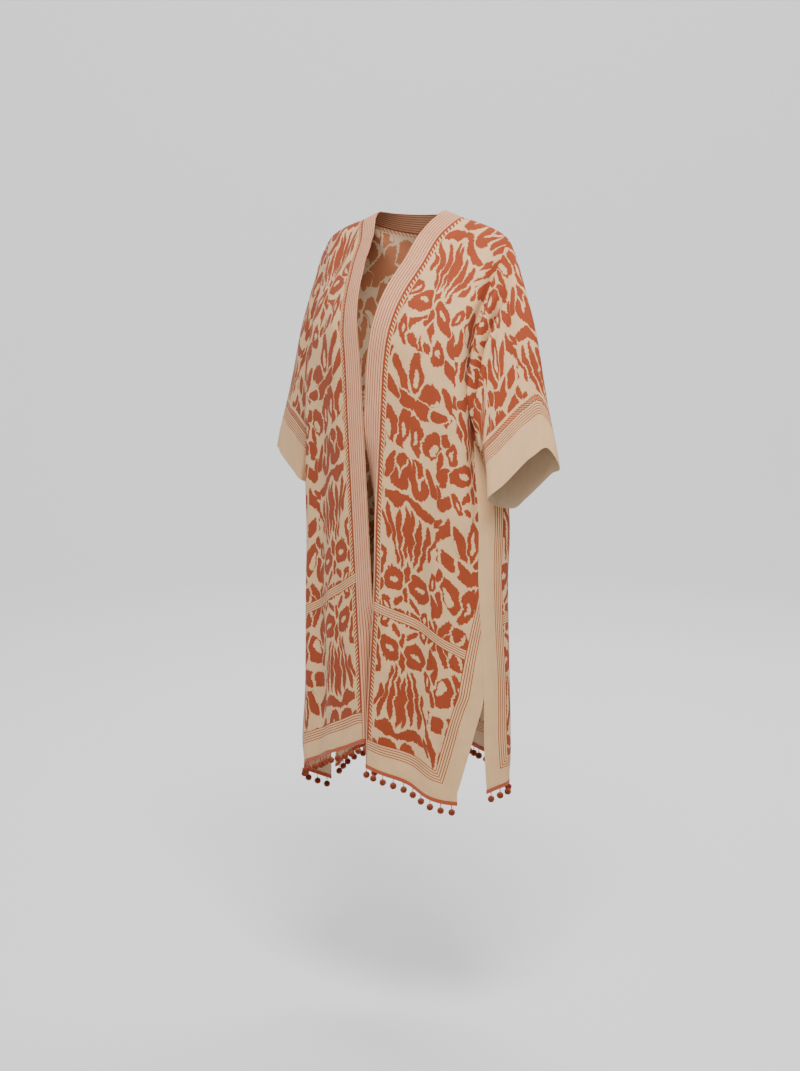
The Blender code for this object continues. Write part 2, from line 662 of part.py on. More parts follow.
def cloth_object(name, grid, material, wall=WALL, closed=False):
    """Object with a wall of cloth under a grid of outer points."""
    rows, columns = grid.shape[:2]
    flip = faces_inward(grid, closed)
    faces = []
    for row in range(rows - 1):
        for column in range(columns if closed else columns - 1):
            beside = (column + 1) % columns
            face = [
                row * columns + column,
                row * columns + beside,
                (row + 1) * columns + beside,
                (row + 1) * columns + column,
            ]
            faces.append(face[::-1] if flip else face)
    mesh = bpy.data.meshes.new(name)
    mesh.from_pydata(grid.reshape(-1, 3).tolist(), [], faces)
    mesh.materials.append(material)
    mesh.shade_smooth()
    piece = bpy.data.objects.new(name, mesh)
    coat.objects.link(piece)
    thickness = piece.modifiers.new("wall", "SOLIDIFY")
    thickness.thickness = wall
    thickness.offset = -1.0
    return piece


def finish(name, colour, roughness):
    """Plain cloth material."""
    material = bpy.data.materials.new(name)
    material.use_nodes = True
    shader = material.node_tree.nodes["Principled BSDF"]
    shader.inputs["Base Color"].default_value = (*colour, 1.0)
    shader.inputs["Roughness"].default_value = roughness
    shader.inputs["Metallic"].default_value = 0.0
    return material


def hem_outward(line):
    """Level directions out of the coat along a line of hem points."""
    along = np.gradient(line, axis=0)
    out = np.stack([-along[:, 1], along[:, 0], np.zeros(len(line))], axis=1)
    out /= np.linalg.norm(out, axis=1, keepdims=True)
    return out if (out * (line - COAT_MIDDLE)).sum() > 0 else -out


def trim_part(name, line, count, shape):
    """Strings or balls of a trim as one hidden mesh, to be joined to its tape."""
    mesh = bmesh.new()
    points = list(line)
    for i in range(count):
        place = Vector(along_path(points, (i + 0.5) / count))
        shape(mesh, place)
    data = bpy.data.meshes.new(name)
    mesh.to_mesh(data)
    mesh.free()
    data.materials.append(TRIM_YARN)
    piece = bpy.data.objects.new(name, data)
    piece.hide_render = True
    piece.display_type = "WIRE"
    tools.objects.link(piece)
    return piece


BALL_DROP = TAPE_GAP + TAPE_HEIGHT + STRING_LENGTH + BALL_DIAMETER / 2
STRING_TOP = TAPE_GAP + TAPE_HEIGHT * (1 - STRING_INTO_TAPE)


def add_string(mesh, place):
    """Four-sided string from inside the tape to the ball's middle."""
    bmesh.ops.create_cone(
        mesh,
        cap_ends=True,
        segments=4,
        radius1=STRING_WIDTH / 2,
        radius2=STRING_WIDTH / 2,
        depth=BALL_DROP - STRING_TOP,
        matrix=Matrix.Translation(place - Vector((0, 0, (BALL_DROP + STRING_TOP) / 2))),
    )


def add_ball(mesh, place):
    """Ball of cut yarn at the string's end."""
    bmesh.ops.create_uvsphere(
        mesh,
        u_segments=6,
        v_segments=4,
        radius=BALL_DIAMETER / 2,
        matrix=Matrix.Translation(place - Vector((0, 0, BALL_DROP))),
    )


def trim(name, line, count):
    """Tape under a hem, with its pompoms fused to it."""
    out = hem_outward(line)
    face = line + out * (TAPE_THICKNESS - WALL) / 2
    step = np.gradient(line, axis=0)
    steepness = np.abs(step[:, 2]) / np.linalg.norm(step[:, :2], axis=1)
    top = face.copy()
    top[:, 2] -= TAPE_GAP + TAPE_STEEP_GAP * steepness
    tape = cloth_object(name, np.stack([top, top - [0, 0, TAPE_HEIGHT]]), TRIM_YARN, TAPE_THICKNESS)
    middle = line - out * WALL / 2
    for part, shape in (("strings", add_string), ("balls", add_ball)):
        union = tape.modifiers.new("join " + part, "BOOLEAN")
        union.operation = "UNION"
        union.solver = "EXACT"
        union.object = trim_part(name + "_" + part, middle, count, shape)


def line_length(line):
    return float(np.linalg.norm(np.diff(line, axis=0), axis=1).sum())


for old in list(bpy.data.objects):
    bpy.data.objects.remove(old)

coat = bpy.data.collections.new("kimono_coat")
bpy.context.scene.collection.children.link(coat)
tools = bpy.data.collections.new("trim_tools")
bpy.context.scene.collection.children.link(tools)

PRINTED_CLOTH = finish("printed_cloth", (0.50, 0.19, 0.10), 0.72)
BAND_CLOTH = finish("striped_band", (0.72, 0.42, 0.28), 0.70)
TRIM_YARN = finish("pompom_yarn", (0.36, 0.09, 0.05), 0.88)

back_halves = {}
for side in ("left", "right"):
    front = front_points(side)
    back = back_points(side)
    sleeve = sleeve_points(side, front, back)
    band = band_points(side, front)
    hem_line = np.concatenate([band[0, ::-1], front[-1, 1:]])

    part_shoulder(front, back)
    part_armhole(front, back, sleeve)
    front[:, 0] += back_from_edge(front, 1, "first") * SEAM_SET_BACK
    band[:, 0] += back_from_edge(band, 1, "first") * SEAM_SET_BACK
    band[-1] += back_from_edge(band, 0, "last") * SEAM_SET_BACK

    back_halves[side] = placed(back, side)
    cloth_object("front_" + side, placed(front, side), PRINTED_CLOTH)
    cloth_object("sleeve_" + side, placed(sleeve, side), PRINTED_CLOTH, closed=True)
    cloth_object("band_" + side, placed(band, side), BAND_CLOTH)
    pompoms = round(line_length(hem_line) / POMPOM_SPACING)
    trim("trim_front_" + side, placed(hem_line, side), pompoms)

back = np.concatenate([back_halves["left"][:, ::-1], back_halves["right"][:, 1:]], axis=1)
cloth_object("back", back, PRINTED_CLOTH)
trim("trim_back", back[-1], round(line_length(back[-1]) / POMPOM_SPACING))
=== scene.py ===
# Kimono coat worn open: printed woven cloth, striped front band and pompom hems.
# Metres, +Z up. The front faces -Y, the wearer's left is +X, and the shoulders carry the coat
# at the origin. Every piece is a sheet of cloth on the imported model's own shape.

import math
from collections import namedtuple

import bpy
import numpy as np
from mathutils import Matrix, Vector, noise


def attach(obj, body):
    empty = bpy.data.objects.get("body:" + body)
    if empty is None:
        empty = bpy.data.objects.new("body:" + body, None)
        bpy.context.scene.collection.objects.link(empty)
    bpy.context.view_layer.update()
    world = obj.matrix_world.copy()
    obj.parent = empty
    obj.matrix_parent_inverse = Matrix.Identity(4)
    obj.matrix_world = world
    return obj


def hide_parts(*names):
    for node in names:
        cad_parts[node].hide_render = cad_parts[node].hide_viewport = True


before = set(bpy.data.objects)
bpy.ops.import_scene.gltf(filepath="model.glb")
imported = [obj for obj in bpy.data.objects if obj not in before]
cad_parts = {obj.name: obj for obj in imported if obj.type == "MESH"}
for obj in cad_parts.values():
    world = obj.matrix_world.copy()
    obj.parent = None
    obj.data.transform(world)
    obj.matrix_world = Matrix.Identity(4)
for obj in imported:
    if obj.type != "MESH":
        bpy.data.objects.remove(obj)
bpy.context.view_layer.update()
bpy.ops.object.select_all(action="DESELECT")


def table(columns, rows):
    """Rows whose values are read by their column's name."""
    row_kind = namedtuple("Row", columns)
    return [row_kind(*row) for row in rows]


# The studio: a pale floor that sweeps up into a plain backdrop, a soft light near the chest,
# weaker ones beside and behind the coat, one on the backdrop, and the camera at the photo's
# angle.

CAMERA_AZIMUTH = math.radians(40.0)
CAMERA_DISTANCE = 3.6
CAMERA_HEIGHT = -0.07
SENSOR_HEIGHT = 36.0
PHOTO_HEIGHT = 1071
LENS_PIXELS = 1980
HORIZON_PIXELS = 285.5
SIDE_SHIFT_PIXELS = -7

camera_data = bpy.data.cameras.new("camera")
camera_data.sensor_fit = "VERTICAL"
camera_data.sensor_height = SENSOR_HEIGHT
camera_data.lens = SENSOR_HEIGHT * LENS_PIXELS / PHOTO_HEIGHT
camera_data.shift_x = SIDE_SHIFT_PIXELS / PHOTO_HEIGHT
camera = bpy.data.objects.new("camera", camera_data)
camera.location = (
    CAMERA_DISTANCE * math.sin(CAMERA_AZIMUTH),
    -CAMERA_DISTANCE * math.cos(CAMERA_AZIMUTH),
    CAMERA_HEIGHT,
)
camera.rotation_euler = (
    math.pi / 2 - math.atan(HORIZON_PIXELS / LENS_PIXELS),
    0.0,
    CAMERA_AZIMUTH,
)
bpy.context.scene.collection.objects.link(camera)
bpy.context.scene.camera = camera

FLOOR_Z = -1.50
STUDIO_RADIUS = 5.2
SWEEP_RADIUS = 1.8
SWEEP_STEPS = 12
WALL_HEIGHT = 4.0
STUDIO_SIDES = 96
STUDIO_COLOUR = (0.88, 0.88, 0.885)
STUDIO_ROUGHNESS = 0.95
SKY_COLOUR = (0.92, 0.93, 0.95)
SKY_STRENGTH = 0.36

bpy.ops.mesh.primitive_circle_add(
    vertices=STUDIO_SIDES, radius=STUDIO_RADIUS, fill_type="NGON",
    location=(0.0, 0.0, FLOOR_Z),
)
floor = bpy.context.object
floor.name = "floor"
bpy.ops.object.transform_apply(location=True, rotation=True, scale=True)
bpy.ops.object.mode_set(mode="EDIT")
bpy.ops.mesh.select_all(action="SELECT")
bpy.ops.mesh.region_to_loop()
radius = STUDIO_RADIUS
for sweep_step in range(1, SWEEP_STEPS + 1):
    turn = math.pi / 2 * sweep_step / SWEEP_STEPS
    before = math.pi / 2 * (sweep_step - 1) / SWEEP_STEPS
    rise = SWEEP_RADIUS * (math.cos(before) - math.cos(turn))
    wider = STUDIO_RADIUS + SWEEP_RADIUS * math.sin(turn)
    bpy.ops.mesh.extrude_region_move(TRANSFORM_OT_translate={"value": (0.0, 0.0, rise)})
    bpy.ops.transform.resize(value=(wider / radius, wider / radius, 1.0))
    radius = wider
bpy.ops.mesh.extrude_region_move(TRANSFORM_OT_translate={"value": (0.0, 0.0, WALL_HEIGHT)})
bpy.ops.object.mode_set(mode="OBJECT")
bpy.ops.object.shade_smooth()
floor_paint = bpy.data.materials.new("pale_floor")
floor_paint.use_nodes = True
floor_shader = floor_paint.node_tree.nodes["Principled BSDF"]
floor_shader.inputs["Base Color"].default_value = (*STUDIO_COLOUR, 1.0)
floor_shader.inputs["Roughness"].default_value = STUDIO_ROUGHNESS
floor.data.materials.append(floor_paint)
bpy.ops.object.select_all(action="DESELECT")

studio = bpy.data.worlds.new("studio")
studio.use_nodes = True
sky = studio.node_tree.nodes["Background"]
sky.inputs["Color"].default_value = (*SKY_COLOUR, 1.0)
sky.inputs["Strength"].default_value = SKY_STRENGTH
bpy.context.scene.world = studio

COAT_CENTRE = (0.0, 0.0, -0.5)
CHEST = (0.0, 0.0, -0.2)
for softbox in table("name place aim size power", [
    ("key_light", (1.05, -1.10, 1.30), CHEST, 1.0, 86.0),
    ("fill_light", (-3.4, -2.0, 0.6), COAT_CENTRE, 2.4, 22.0),
    ("back_light", (0.6, 3.4, 1.8), COAT_CENTRE, 2.4, 40.0),
    ("backdrop_light", (-1.2, 1.6, 3.4), (-3.6, 4.6, -0.6), 3.0, 240.0),
]):
    lamp_data = bpy.data.lights.new(softbox.name, "AREA")
    lamp_data.size = softbox.size
    lamp_data.energy = softbox.power
    lamp = bpy.data.objects.new(softbox.name, lamp_data)
    lamp.location = softbox.place
    lamp.visible_camera = False
    aim = Vector(softbox.aim) - Vector(softbox.place)
    lamp.rotation_euler = aim.to_track_quat("-Z", "Y").to_euler()
    bpy.context.scene.collection.objects.link(lamp)


# Fronts: one printed panel each side, from the shoulder seam to the hem. It falls straight in
# front of the body, is tucked in beside the sleeve, and ends in a cream border with thin
# lines at its hem and side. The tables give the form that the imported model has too, with
# turns in degrees round the body from the front, and heights and depths in metres.

WALL = 0.0009
SEAM_SET_BACK = 0.00012
BAND_WIDTH = 0.038

NECK_HALF_WIDTH = 0.0757
NECK_BACKSET = 0.0155
TIP_HALF_WIDTH = 0.210
TIP_BACKSET = 0.025
TIP_FALL = 0.052
SHOULDER_BEND = 1.12

CENTRE_UNDERARM_Z = -0.385
NECK_UNDERARM_Z = -0.378
UNDERARM_Z = -0.405
CENTRE_SLIT_Z = -0.800
SLIT_TOP_Z = -0.850
ARMHOLE_ROWS = 12
SIDE_ROWS = 8
SLIT_ROWS = 4
ROW_GROWTH = 2.2
BAND_HEM_TURN = 2.0
COAT_MIDDLE = np.array([0.0, 0.03, -0.5])

GIRTHS = table("z left right front back", [
    (0.000, 0.213, 0.213, 0.121, 0.100),
    (-0.200, 0.214, 0.214, 0.121, 0.118),
    (-0.400, 0.217, 0.218, 0.121, 0.128),
    (-0.530, 0.220, 0.222, 0.121, 0.132),
    (-0.660, 0.212, 0.225, 0.121, 0.121),
    (-0.850, 0.216, 0.228, 0.121, 0.121),
    (-1.030, 0.219, 0.238, 0.122, 0.123),
])

DRAPES = table("drop front back", [
    (0.000, 0.000, 0.000),
    (0.0015, 0.055, 0.060),
    (0.006, 0.110, 0.130),
    (0.020, 0.220, 0.330),
    (0.052, 0.400, 0.600),
    (0.093, 0.610, 0.800),
    (0.130, 0.790, 0.910),
    (0.170, 0.920, 0.970),
    (0.215, 0.990, 1.000),
    (0.280, 1.000, 1.000),
    (1.200, 1.000, 1.000),
])

FRONT_EDGES = table("z left_x right_x left_turn right_turn lift", [
    (-0.013, 0.1125, -0.1125, 0.0, 0.0, 0.000),
    (-0.052, 0.0880, -0.0880, 0.0, 0.0, 0.000),
    (-0.093, 0.0805, -0.0805, 0.0, 0.0, 0.000),
    (-0.130, 0.0695, -0.0695, 0.0, 0.0, 0.000),
    (-0.170, 0.0602, -0.0602, 0.0, 0.0, 0.000),
    (-0.215, 0.0523, -0.0523, 0.0, 0.0, 0.000),
    (-0.275, 0.0446, -0.0446, 0.0, 0.0, 0.000),
    (-0.370, 0.0392, -0.0392, 0.0, 0.0, 0.000),
    (-0.450, 0.0355, -0.0340, 25.0, 0.0, 0.001),
    (-0.550, 0.0320, -0.0275, 62.0, 0.0, 0.003),
    (-0.650, 0.0300, -0.0210, 88.0, 0.0, 0.004),
    (-0.700, 0.0285, -0.0180, 94.0, 5.0, 0.005),
    (-0.750, 0.0250, -0.0150, 95.0, 45.0, 0.005),
    (-0.820, 0.0200, -0.0105, 96.0, 74.0, 0.005),
    (-0.930, 0.0130, -0.0050, 96.0, 88.0, 0.005),
    (-0.990, 0.0120, -0.0045, 96.0, 90.0, 0.005),
])
LIFT_SPREAD = 6.0

SIDE_EDGES = table("z front_turn back_turn front_tuck back_tuck right_shift right_tuck", [
    (-0.052, 80.0, 107.0, 0.000, 0.000, 0.0, 0.000),
    (-0.080, 76.5, 108.0, 0.001, 0.001, 0.0, 0.000),
    (-0.115, 72.5, 110.0, 0.008, 0.004, 0.0, 0.000),
    (-0.150, 69.5, 112.0, 0.015, 0.008, 0.5, 0.000),
    (-0.210, 66.5, 113.0, 0.026, 0.014, 1.5, 0.000),
    (-0.290, 66.0, 111.0, 0.032, 0.020, 3.0, 0.000),
    (-0.345, 66.5, 99.0, 0.031, 0.026, 4.0, 0.000),
    (-0.405, 67.5, 67.5, 0.028, 0.028, 5.0, 0.000),
    (-0.450, 68.0, 68.0, 0.027, 0.027, 5.0, 0.000),
    (-0.520, 69.0, 69.0, 0.018, 0.018, 4.0, 0.000),
    (-0.600, 69.5, 69.5, 0.006, 0.006, 3.0, 0.000),
    (-0.700, 71.0, 71.0, 0.000, 0.000, 4.0, 0.000),
    (-0.850, 73.5, 73.5, 0.000, 0.000, 10.0, 0.004),
    (-0.930, 65.5, 73.4, 0.000, 0.000, 18.0, 0.018),
    (-1.030, 54.0, 75.5, 0.000, 0.000, 30.0, 0.050),
])
FRONT_TUCK_SPREAD = 6.5
BACK_TUCK_SPREAD = 11.0
SIDE_TUCK_SPREAD = 32.0
BACK_TUCK_TURNS = (75.0, 105.0)

HEMS = table("turn left right", [
    (0.0, -0.991, -0.947),
    (12.0, -1.002, -0.969),
    (25.0, -1.016, -0.989),
    (37.0, -1.035, -1.008),
    (48.0, -1.0450, -1.024),
    (54.0, -1.0455, -1.032),
    (66.0, -1.034, -1.043),
    (75.5, -1.026, -1.060),
    (84.0, -1.0215, -1.073),
    (105.5, -1.012, -1.053),
    (117.0, -1.008, -1.043),
    (127.0, -1.004, -1.031),
    (140.0, -0.998, -1.016),
    (160.0, -0.989, -0.996),
    (180.0, -0.990, -0.990),
])

FOLDS = table("side top_turn low_turn z_top rise spread", [
    ("left", 31.0, 24.0, -0.50, -0.0070, 8.0),
    ("left", 44.0, 40.0, -0.42, 0.0050, 7.0),
    ("left", 17.0, 11.0, -0.62, 0.0040, 6.0),
    ("left", 58.0, 47.0, -0.66, -0.0050, 6.0),
    ("right", 52.0, 47.0, -0.24, 0.0060, 6.0),
    ("right", 40.0, 36.0, -0.34, -0.0060, 7.0),
    ("right", 27.0, 22.0, -0.52, 0.0045, 7.0),
    ("right", 62.0, 60.0, -0.45, -0.0040, 5.0),
    ("left", 104.0, 97.0, -0.46, 0.0080, 9.0),
    ("left", 122.0, 117.0, -0.30, -0.0090, 9.0),
    ("left", 139.0, 137.0, -0.24, 0.0090, 8.0),
    ("left", 155.0, 155.0, -0.36, -0.0070, 8.0),
    ("left", 170.0, 172.0, -0.28, 0.0060, 8.0),
    ("right", 173.0, 176.0, -0.50, -0.0060, 7.0),
    ("right", 158.0, 160.0, -0.26, 0.0080, 8.0),
    ("right", 143.0, 144.0, -0.34, -0.0080, 7.0),
    ("right", 129.0, 127.0, -0.24, 0.0100, 8.0),
    ("right", 115.0, 116.0, -0.40, -0.0120, 8.0),
    ("right", 101.0, 102.0, -0.50, 0.0100, 8.0),
])
FOLD_LOW_Z = -1.0
FOLD_FADE = 0.16

# Soft swells of the hanging cloth: waves per metre across it and down it, height and how
# far from the edges they have their full height
SWELLS = table("across down rise fade", [
    (24.0, 7.5, 0.0024, 0.035),
    (13.0, 1.8, 0.0090, 0.060),
])
RIM_ANGLE = math.radians(50.0)

# Rows of mesh down a panel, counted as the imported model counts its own
ARMHOLE_STEPS = 60
SHOULDER_CROWDING = 0.75
SIDE_STEPS = 64
SLIT_STEPS = 36
SLIT_START = ARMHOLE_ROWS + SIDE_ROWS
CLOTH_ROWS = np.concatenate([
    ARMHOLE_ROWS * np.linspace(0.0, 1.0, ARMHOLE_STEPS + 1) ** SHOULDER_CROWDING,
    np.linspace(ARMHOLE_ROWS, SLIT_START, SIDE_STEPS + 1)[1:],
    np.linspace(SLIT_START, SLIT_START + SLIT_ROWS, SLIT_STEPS + 1)[1:],
])
FRONT_STEPS = 46
FRONT_COLUMN_GROWTH = 1.12
TINY = 1e-9


def follow(table, column, key, at):
    """Values of a table's column at places along its key, on smooth curves."""
    keys = np.array([getattr(row, key) for row in table])
    values = np.array([getattr(row, column) for row in table])
    if keys[0] > keys[-1]:
        keys = keys[::-1]
        values = values[::-1]
    at = np.clip(at, keys[0], keys[-1])
    rates = np.diff(values) / np.diff(keys)
    product = rates[:-1] * rates[1:]
    total = np.where(product > 0, rates[:-1] + rates[1:], 1.0)
    inner = np.where(product > 0, 2 * product / total, 0.0)
    slopes = np.concatenate([[rates[0]], inner, [rates[-1]]])
    step = np.clip(np.searchsorted(keys, at, side="right") - 1, 0, len(rates) - 1)
    span = keys[step + 1] - keys[step]
    t = (at - keys[step]) / span
    start = values[step] * (1 + 2 * t) + slopes[step] * span * t
    end = values[step + 1] * (3 - 2 * t) - slopes[step + 1] * span * (1 - t)
    return start * (1 - t) ** 2 + end * t ** 2


def mix(a, b, t):
    return a + (b - a) * t


def joined(x, y, z):
    """Points from their coordinates."""
    return np.stack(np.broadcast_arrays(x, y, z), axis=-1)


def ease(t):
    t = np.clip(t, 0.0, 1.0)
    return t * t * (3 - 2 * t)


def between(value, ends):
    """Smooth share of the way from one end to the other."""
    return ease((value - ends[0]) / (ends[1] - ends[0]))


def bell(offset, spread):
    return np.exp(-(offset / spread) ** 2)


def shoulder_line(x):
    """Points of the shoulder seam at half widths."""
    share = (x - NECK_HALF_WIDTH) / (TIP_HALF_WIDTH - NECK_HALF_WIDTH)
    y = mix(NECK_BACKSET, TIP_BACKSET, share)
    z = -TIP_FALL * np.maximum(share, 0.0) ** SHOULDER_BEND
    return joined(x, y, z)


def fold_rise(side, turn, z):
    """How far the long folds lift the cloth at turns round the body and heights."""
    rise = np.zeros(np.broadcast(turn, z).shape)
    for fold in FOLDS:
        if fold.side == side:
            share = (fold.z_top - z) / (fold.z_top - FOLD_LOW_Z)
            line = mix(fold.top_turn, fold.low_turn, share)
            started = ease((fold.z_top - z) / FOLD_FADE)
            rise += fold.rise * started * bell(turn - line, fold.spread)
    return rise


def body_face(side, panel, top, turn, z, tuck_turn, tuck):
    """Outer face of a panel, for the wearer's left, at turns round the body and heights."""
    half = follow(GIRTHS, side, "z", z)
    front_depth = follow(GIRTHS, "front", "z", z)
    depth = np.where(turn < 90.0, front_depth, follow(GIRTHS, "back", "z", z))
    angle = np.radians(turn)
    x = half * np.sin(angle)
    y = -depth * np.cos(angle)
    out_x = np.sin(angle) / half
    out_y = -np.cos(angle) / depth
    length = np.hypot(out_x, out_y)
    spread = FRONT_TUCK_SPREAD
    if panel == "back":
        spread = mix(SIDE_TUCK_SPREAD, BACK_TUCK_SPREAD, between(tuck_turn, BACK_TUCK_TURNS))
    rise = fold_rise(side, turn, z) - tuck * bell(turn - tuck_turn, spread)
    share = follow(DRAPES, panel, "drop", np.maximum(top[..., 2] - z, 0.0))
    y = mix(top[..., 1], y, share) + out_y / length * rise
    return joined(x + out_x / length * rise, y, z)


def row_height(rows, top, underarm, slit, hem):
    """Heights of rows, on columns with these four heights."""
    upper = mix(top, underarm, np.clip(rows / ARMHOLE_ROWS, 0.0, 1.0) ** ROW_GROWTH)
    middle = mix(underarm, slit, (rows - ARMHOLE_ROWS) / SIDE_ROWS)
    lower = mix(slit, hem, (rows - SLIT_START) / SLIT_ROWS)
    below = np.where(rows <= SLIT_START, middle, lower)
    return np.where(rows <= ARMHOLE_ROWS, upper, below)


def band_seam(side, rows):
    """Turns and heights of the seam between a front and its band."""
    top_z = shoulder_line(NECK_HALF_WIDTH + BAND_WIDTH)[2]
    hem_z = follow(HEMS, side, "turn", BAND_HEM_TURN)
    z = row_height(rows, top_z, CENTRE_UNDERARM_Z, CENTRE_SLIT_Z, hem_z)
    x = follow(FRONT_EDGES, side + "_x", "z", z)
    if side == "right":
        x = -x
    return np.degrees(np.arcsin(x / follow(GIRTHS, side, "z", z))), z


def side_edge(side, panel, rows):
    """Turns, heights and tucks of the edge where a panel meets the sleeve and the side."""
    hem_turn = SIDE_EDGES[-1].front_turn if panel == "front" else SIDE_EDGES[-1].back_turn
    if side == "right":
        hem_turn += SIDE_EDGES[-1].right_shift
    hem_z = follow(HEMS, side, "turn", hem_turn)
    z = row_height(rows, -TIP_FALL, UNDERARM_Z, SLIT_TOP_Z, hem_z)
    turn = follow(SIDE_EDGES, panel + "_turn", "z", z)
    tuck = follow(SIDE_EDGES, panel + "_tuck", "z", z)
    if side == "right":
        turn = turn + follow(SIDE_EDGES, "right_shift", "z", z)
        tuck = tuck + follow(SIDE_EDGES, "right_tuck", "z", z)
    return turn, z, tuck


def front_sheet(side):
    """Outer face of a front, rows from the shoulder to the hem, columns to the side."""
    rows = CLOTH_ROWS[:, None]
    share = 1 - (1 - np.linspace(0.0, 1.0, FRONT_STEPS + 1)[None, :]) ** FRONT_COLUMN_GROWTH
    seam_turn, seam_z = band_seam(side, rows)
    edge_turn, edge_z, tuck = side_edge(side, "front", rows)
    top = shoulder_line(mix(NECK_HALF_WIDTH + BAND_WIDTH, TIP_HALF_WIDTH, share))
    turn = mix(seam_turn, edge_turn, share)
    z = mix(seam_z, edge_z, share)
    slit = mix(CENTRE_SLIT_Z, SLIT_TOP_Z, share)
    slit_share = (rows - SLIT_START) / SLIT_ROWS
    z = np.where(slit_share > 0, mix(slit, follow(HEMS, side, "turn", turn), slit_share), z)
    z[0] = top[0, :, 2]
    points = body_face(side, "front", top, turn, z, edge_turn, tuck)
    if side == "left":
        lift = follow(FRONT_EDGES, "lift", "z", z)
        points[..., 1] -= lift * bell(turn - seam_turn, LIFT_SPREAD)
    return points


def unit(vectors):
    return vectors / np.maximum(np.linalg.norm(vectors, axis=-1, keepdims=True), TINY)


def back_from_edge(grid, axis, end):
    """Unit steps from one edge of a grid into its cloth, square to the edge."""
    lines = np.moveaxis(grid, axis, 0)
    edge, inner = (lines[0], lines[1]) if end == "first" else (lines[-1], lines[-2])
    along = unit(np.gradient(edge, axis=0))
    step = inner - edge
    return unit(step - along * (step * along).sum(axis=1, keepdims=True))


def walked(grid, axis, start):
    """Distance walked over the cloth along an axis, from its first or last line."""
    steps = np.linalg.norm(np.diff(grid, axis=axis), axis=2)
    zero = np.zeros_like(np.take(steps, [0], axis=axis))
    total = np.cumsum(np.concatenate([zero, steps], axis=axis), axis=axis)
    if start == "last":
        total = np.take(total, [-1], axis=axis) - total
    return total


def distance_to(grid, line):
    """Straight distance of each point to the nearest stretch of a line of points."""
    nearest = np.full(grid.shape[:2], np.inf)
    for a, b in zip(line[:-1], line[1:]):
        step = b - a
        share = np.clip(((grid - a) @ step) / max(step @ step, TINY ** 2), 0.0, 1.0)
        gap = np.linalg.norm(grid - a - share[..., None] * step, axis=2)
        nearest = np.minimum(nearest, gap)
    return nearest


def placed(grid, side):
    """A grid made for the wearer's left, on its own side."""
    return grid if side == "left" else grid * np.array([-1.0, 1.0, 1.0])


def slope_around(grid):
    """Steps from column to column of a closed grid."""
    return (np.roll(grid, -1, axis=1) - np.roll(grid, 1, axis=1)) / 2


def faces_inward(grid, closed):
    """Whether a grid's faces, in their plain order, look towards the inside of the coat."""
    down = np.gradient(grid, axis=0)
    across = np.gradient(grid, axis=1)
    middle = COAT_MIDDLE
    if closed:
        across = slope_around(grid)
        middle = grid.mean(axis=1, keepdims=True)
    return (np.cross(across, down) * (grid - middle)).sum() < 0


def open_normals(grid):
    """Unit normals of a panel's outer face."""
    normal = unit(np.cross(np.gradient(grid, axis=1), np.gradient(grid, axis=0)))
    return -normal if faces_inward(grid, False) else normal


def rumple(grid, normals, closed=False):
    """Soft swells that stretch up and down the cloth and die out at its edges."""
    from_edge = np.minimum(walked(grid, 0, "first"), walked(grid, 0, "last"))
    if not closed:
        from_side = np.minimum(walked(grid, 1, "first"), walked(grid, 1, "last"))
        from_edge = np.minimum(from_edge, from_side)
    lift = np.zeros(grid.shape[:2])
    for swell in SWELLS:
        places = grid * [swell.across, swell.across, swell.down]
        waves = np.array([noise.noise(Vector(place)) for place in places.reshape(-1, 3)])
        lift += swell.rise * waves.reshape(lift.shape) * ease(from_edge / swell.fade)
    grid += normals * lift[..., None]


def set_back(grid, axis, end, distance):
    """Moves an edge back from its seam, and the cloth beside it less and less."""
    step = np.expand_dims(back_from_edge(grid, axis, end), axis)
    lines = np.moveaxis(grid, axis, 0)
    distance = np.expand_dims(np.broadcast_to(distance, lines.shape[1:2]), axis)
    move = np.maximum(distance - walked(grid, axis, end) / 2, 0.0)
    grid += step * move[..., None]


def cloth_piece(name, grid, maps, face, reverse, closed=False, wall=WALL):
    """Sheet of cloth under a grid of outer points, with its flat patterns' UV maps."""
    rows, columns = grid.shape[:2]
    across = columns if closed else columns - 1
    row, column = np.meshgrid(np.arange(rows - 1), np.arange(across), indexing="ij")
    beside = column + 1
    corners = [(row, column), (row, beside), (row + 1, beside), (row + 1, column)]
    if faces_inward(grid, closed):
        corners.reverse()
    faces = np.stack([r * columns + c % columns for r, c in corners], axis=-1).reshape(-1, 4)
    mesh = bpy.data.meshes.new(name)
    mesh.from_pydata(grid.reshape(-1, 3).tolist(), [], faces.tolist())
    places = np.stack([r * (across + 1) + c for r, c in corners], axis=-1).reshape(-1)
    for map_name, (u, v) in maps.items():
        layer = mesh.uv_layers.new(name=map_name)
        flat = np.stack([u, v], axis=-1).reshape(-1, 2)[places]
        layer.data.foreach_set("uv", flat.astype(np.float32).ravel())
    mesh.materials.append(face)
    mesh.materials.append(reverse)
    mesh.shade_smooth()
    piece = bpy.data.objects.new(name, mesh)
    bpy.context.scene.collection.objects.link(piece)
    bpy.context.view_layer.objects.active = piece
    thickness = piece.modifiers.new("wall", "SOLIDIFY")
    thickness.thickness = wall
    thickness.offset = -1.0
    thickness.material_offset = 1
    bpy.ops.object.modifier_apply(modifier=thickness.name)
    piece.data.set_sharp_from_angle(angle=RIM_ANGLE)
    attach(piece, "root")
    return piece


# The print: rust dye on a cream ground, tied and dyed along the warp, so that its edges are
# feathered. Petals, spots and stripes stand in mirrored columns with a half drop, with thin
# cream veins between them. Sizes are in centimetres on the flat cloth.

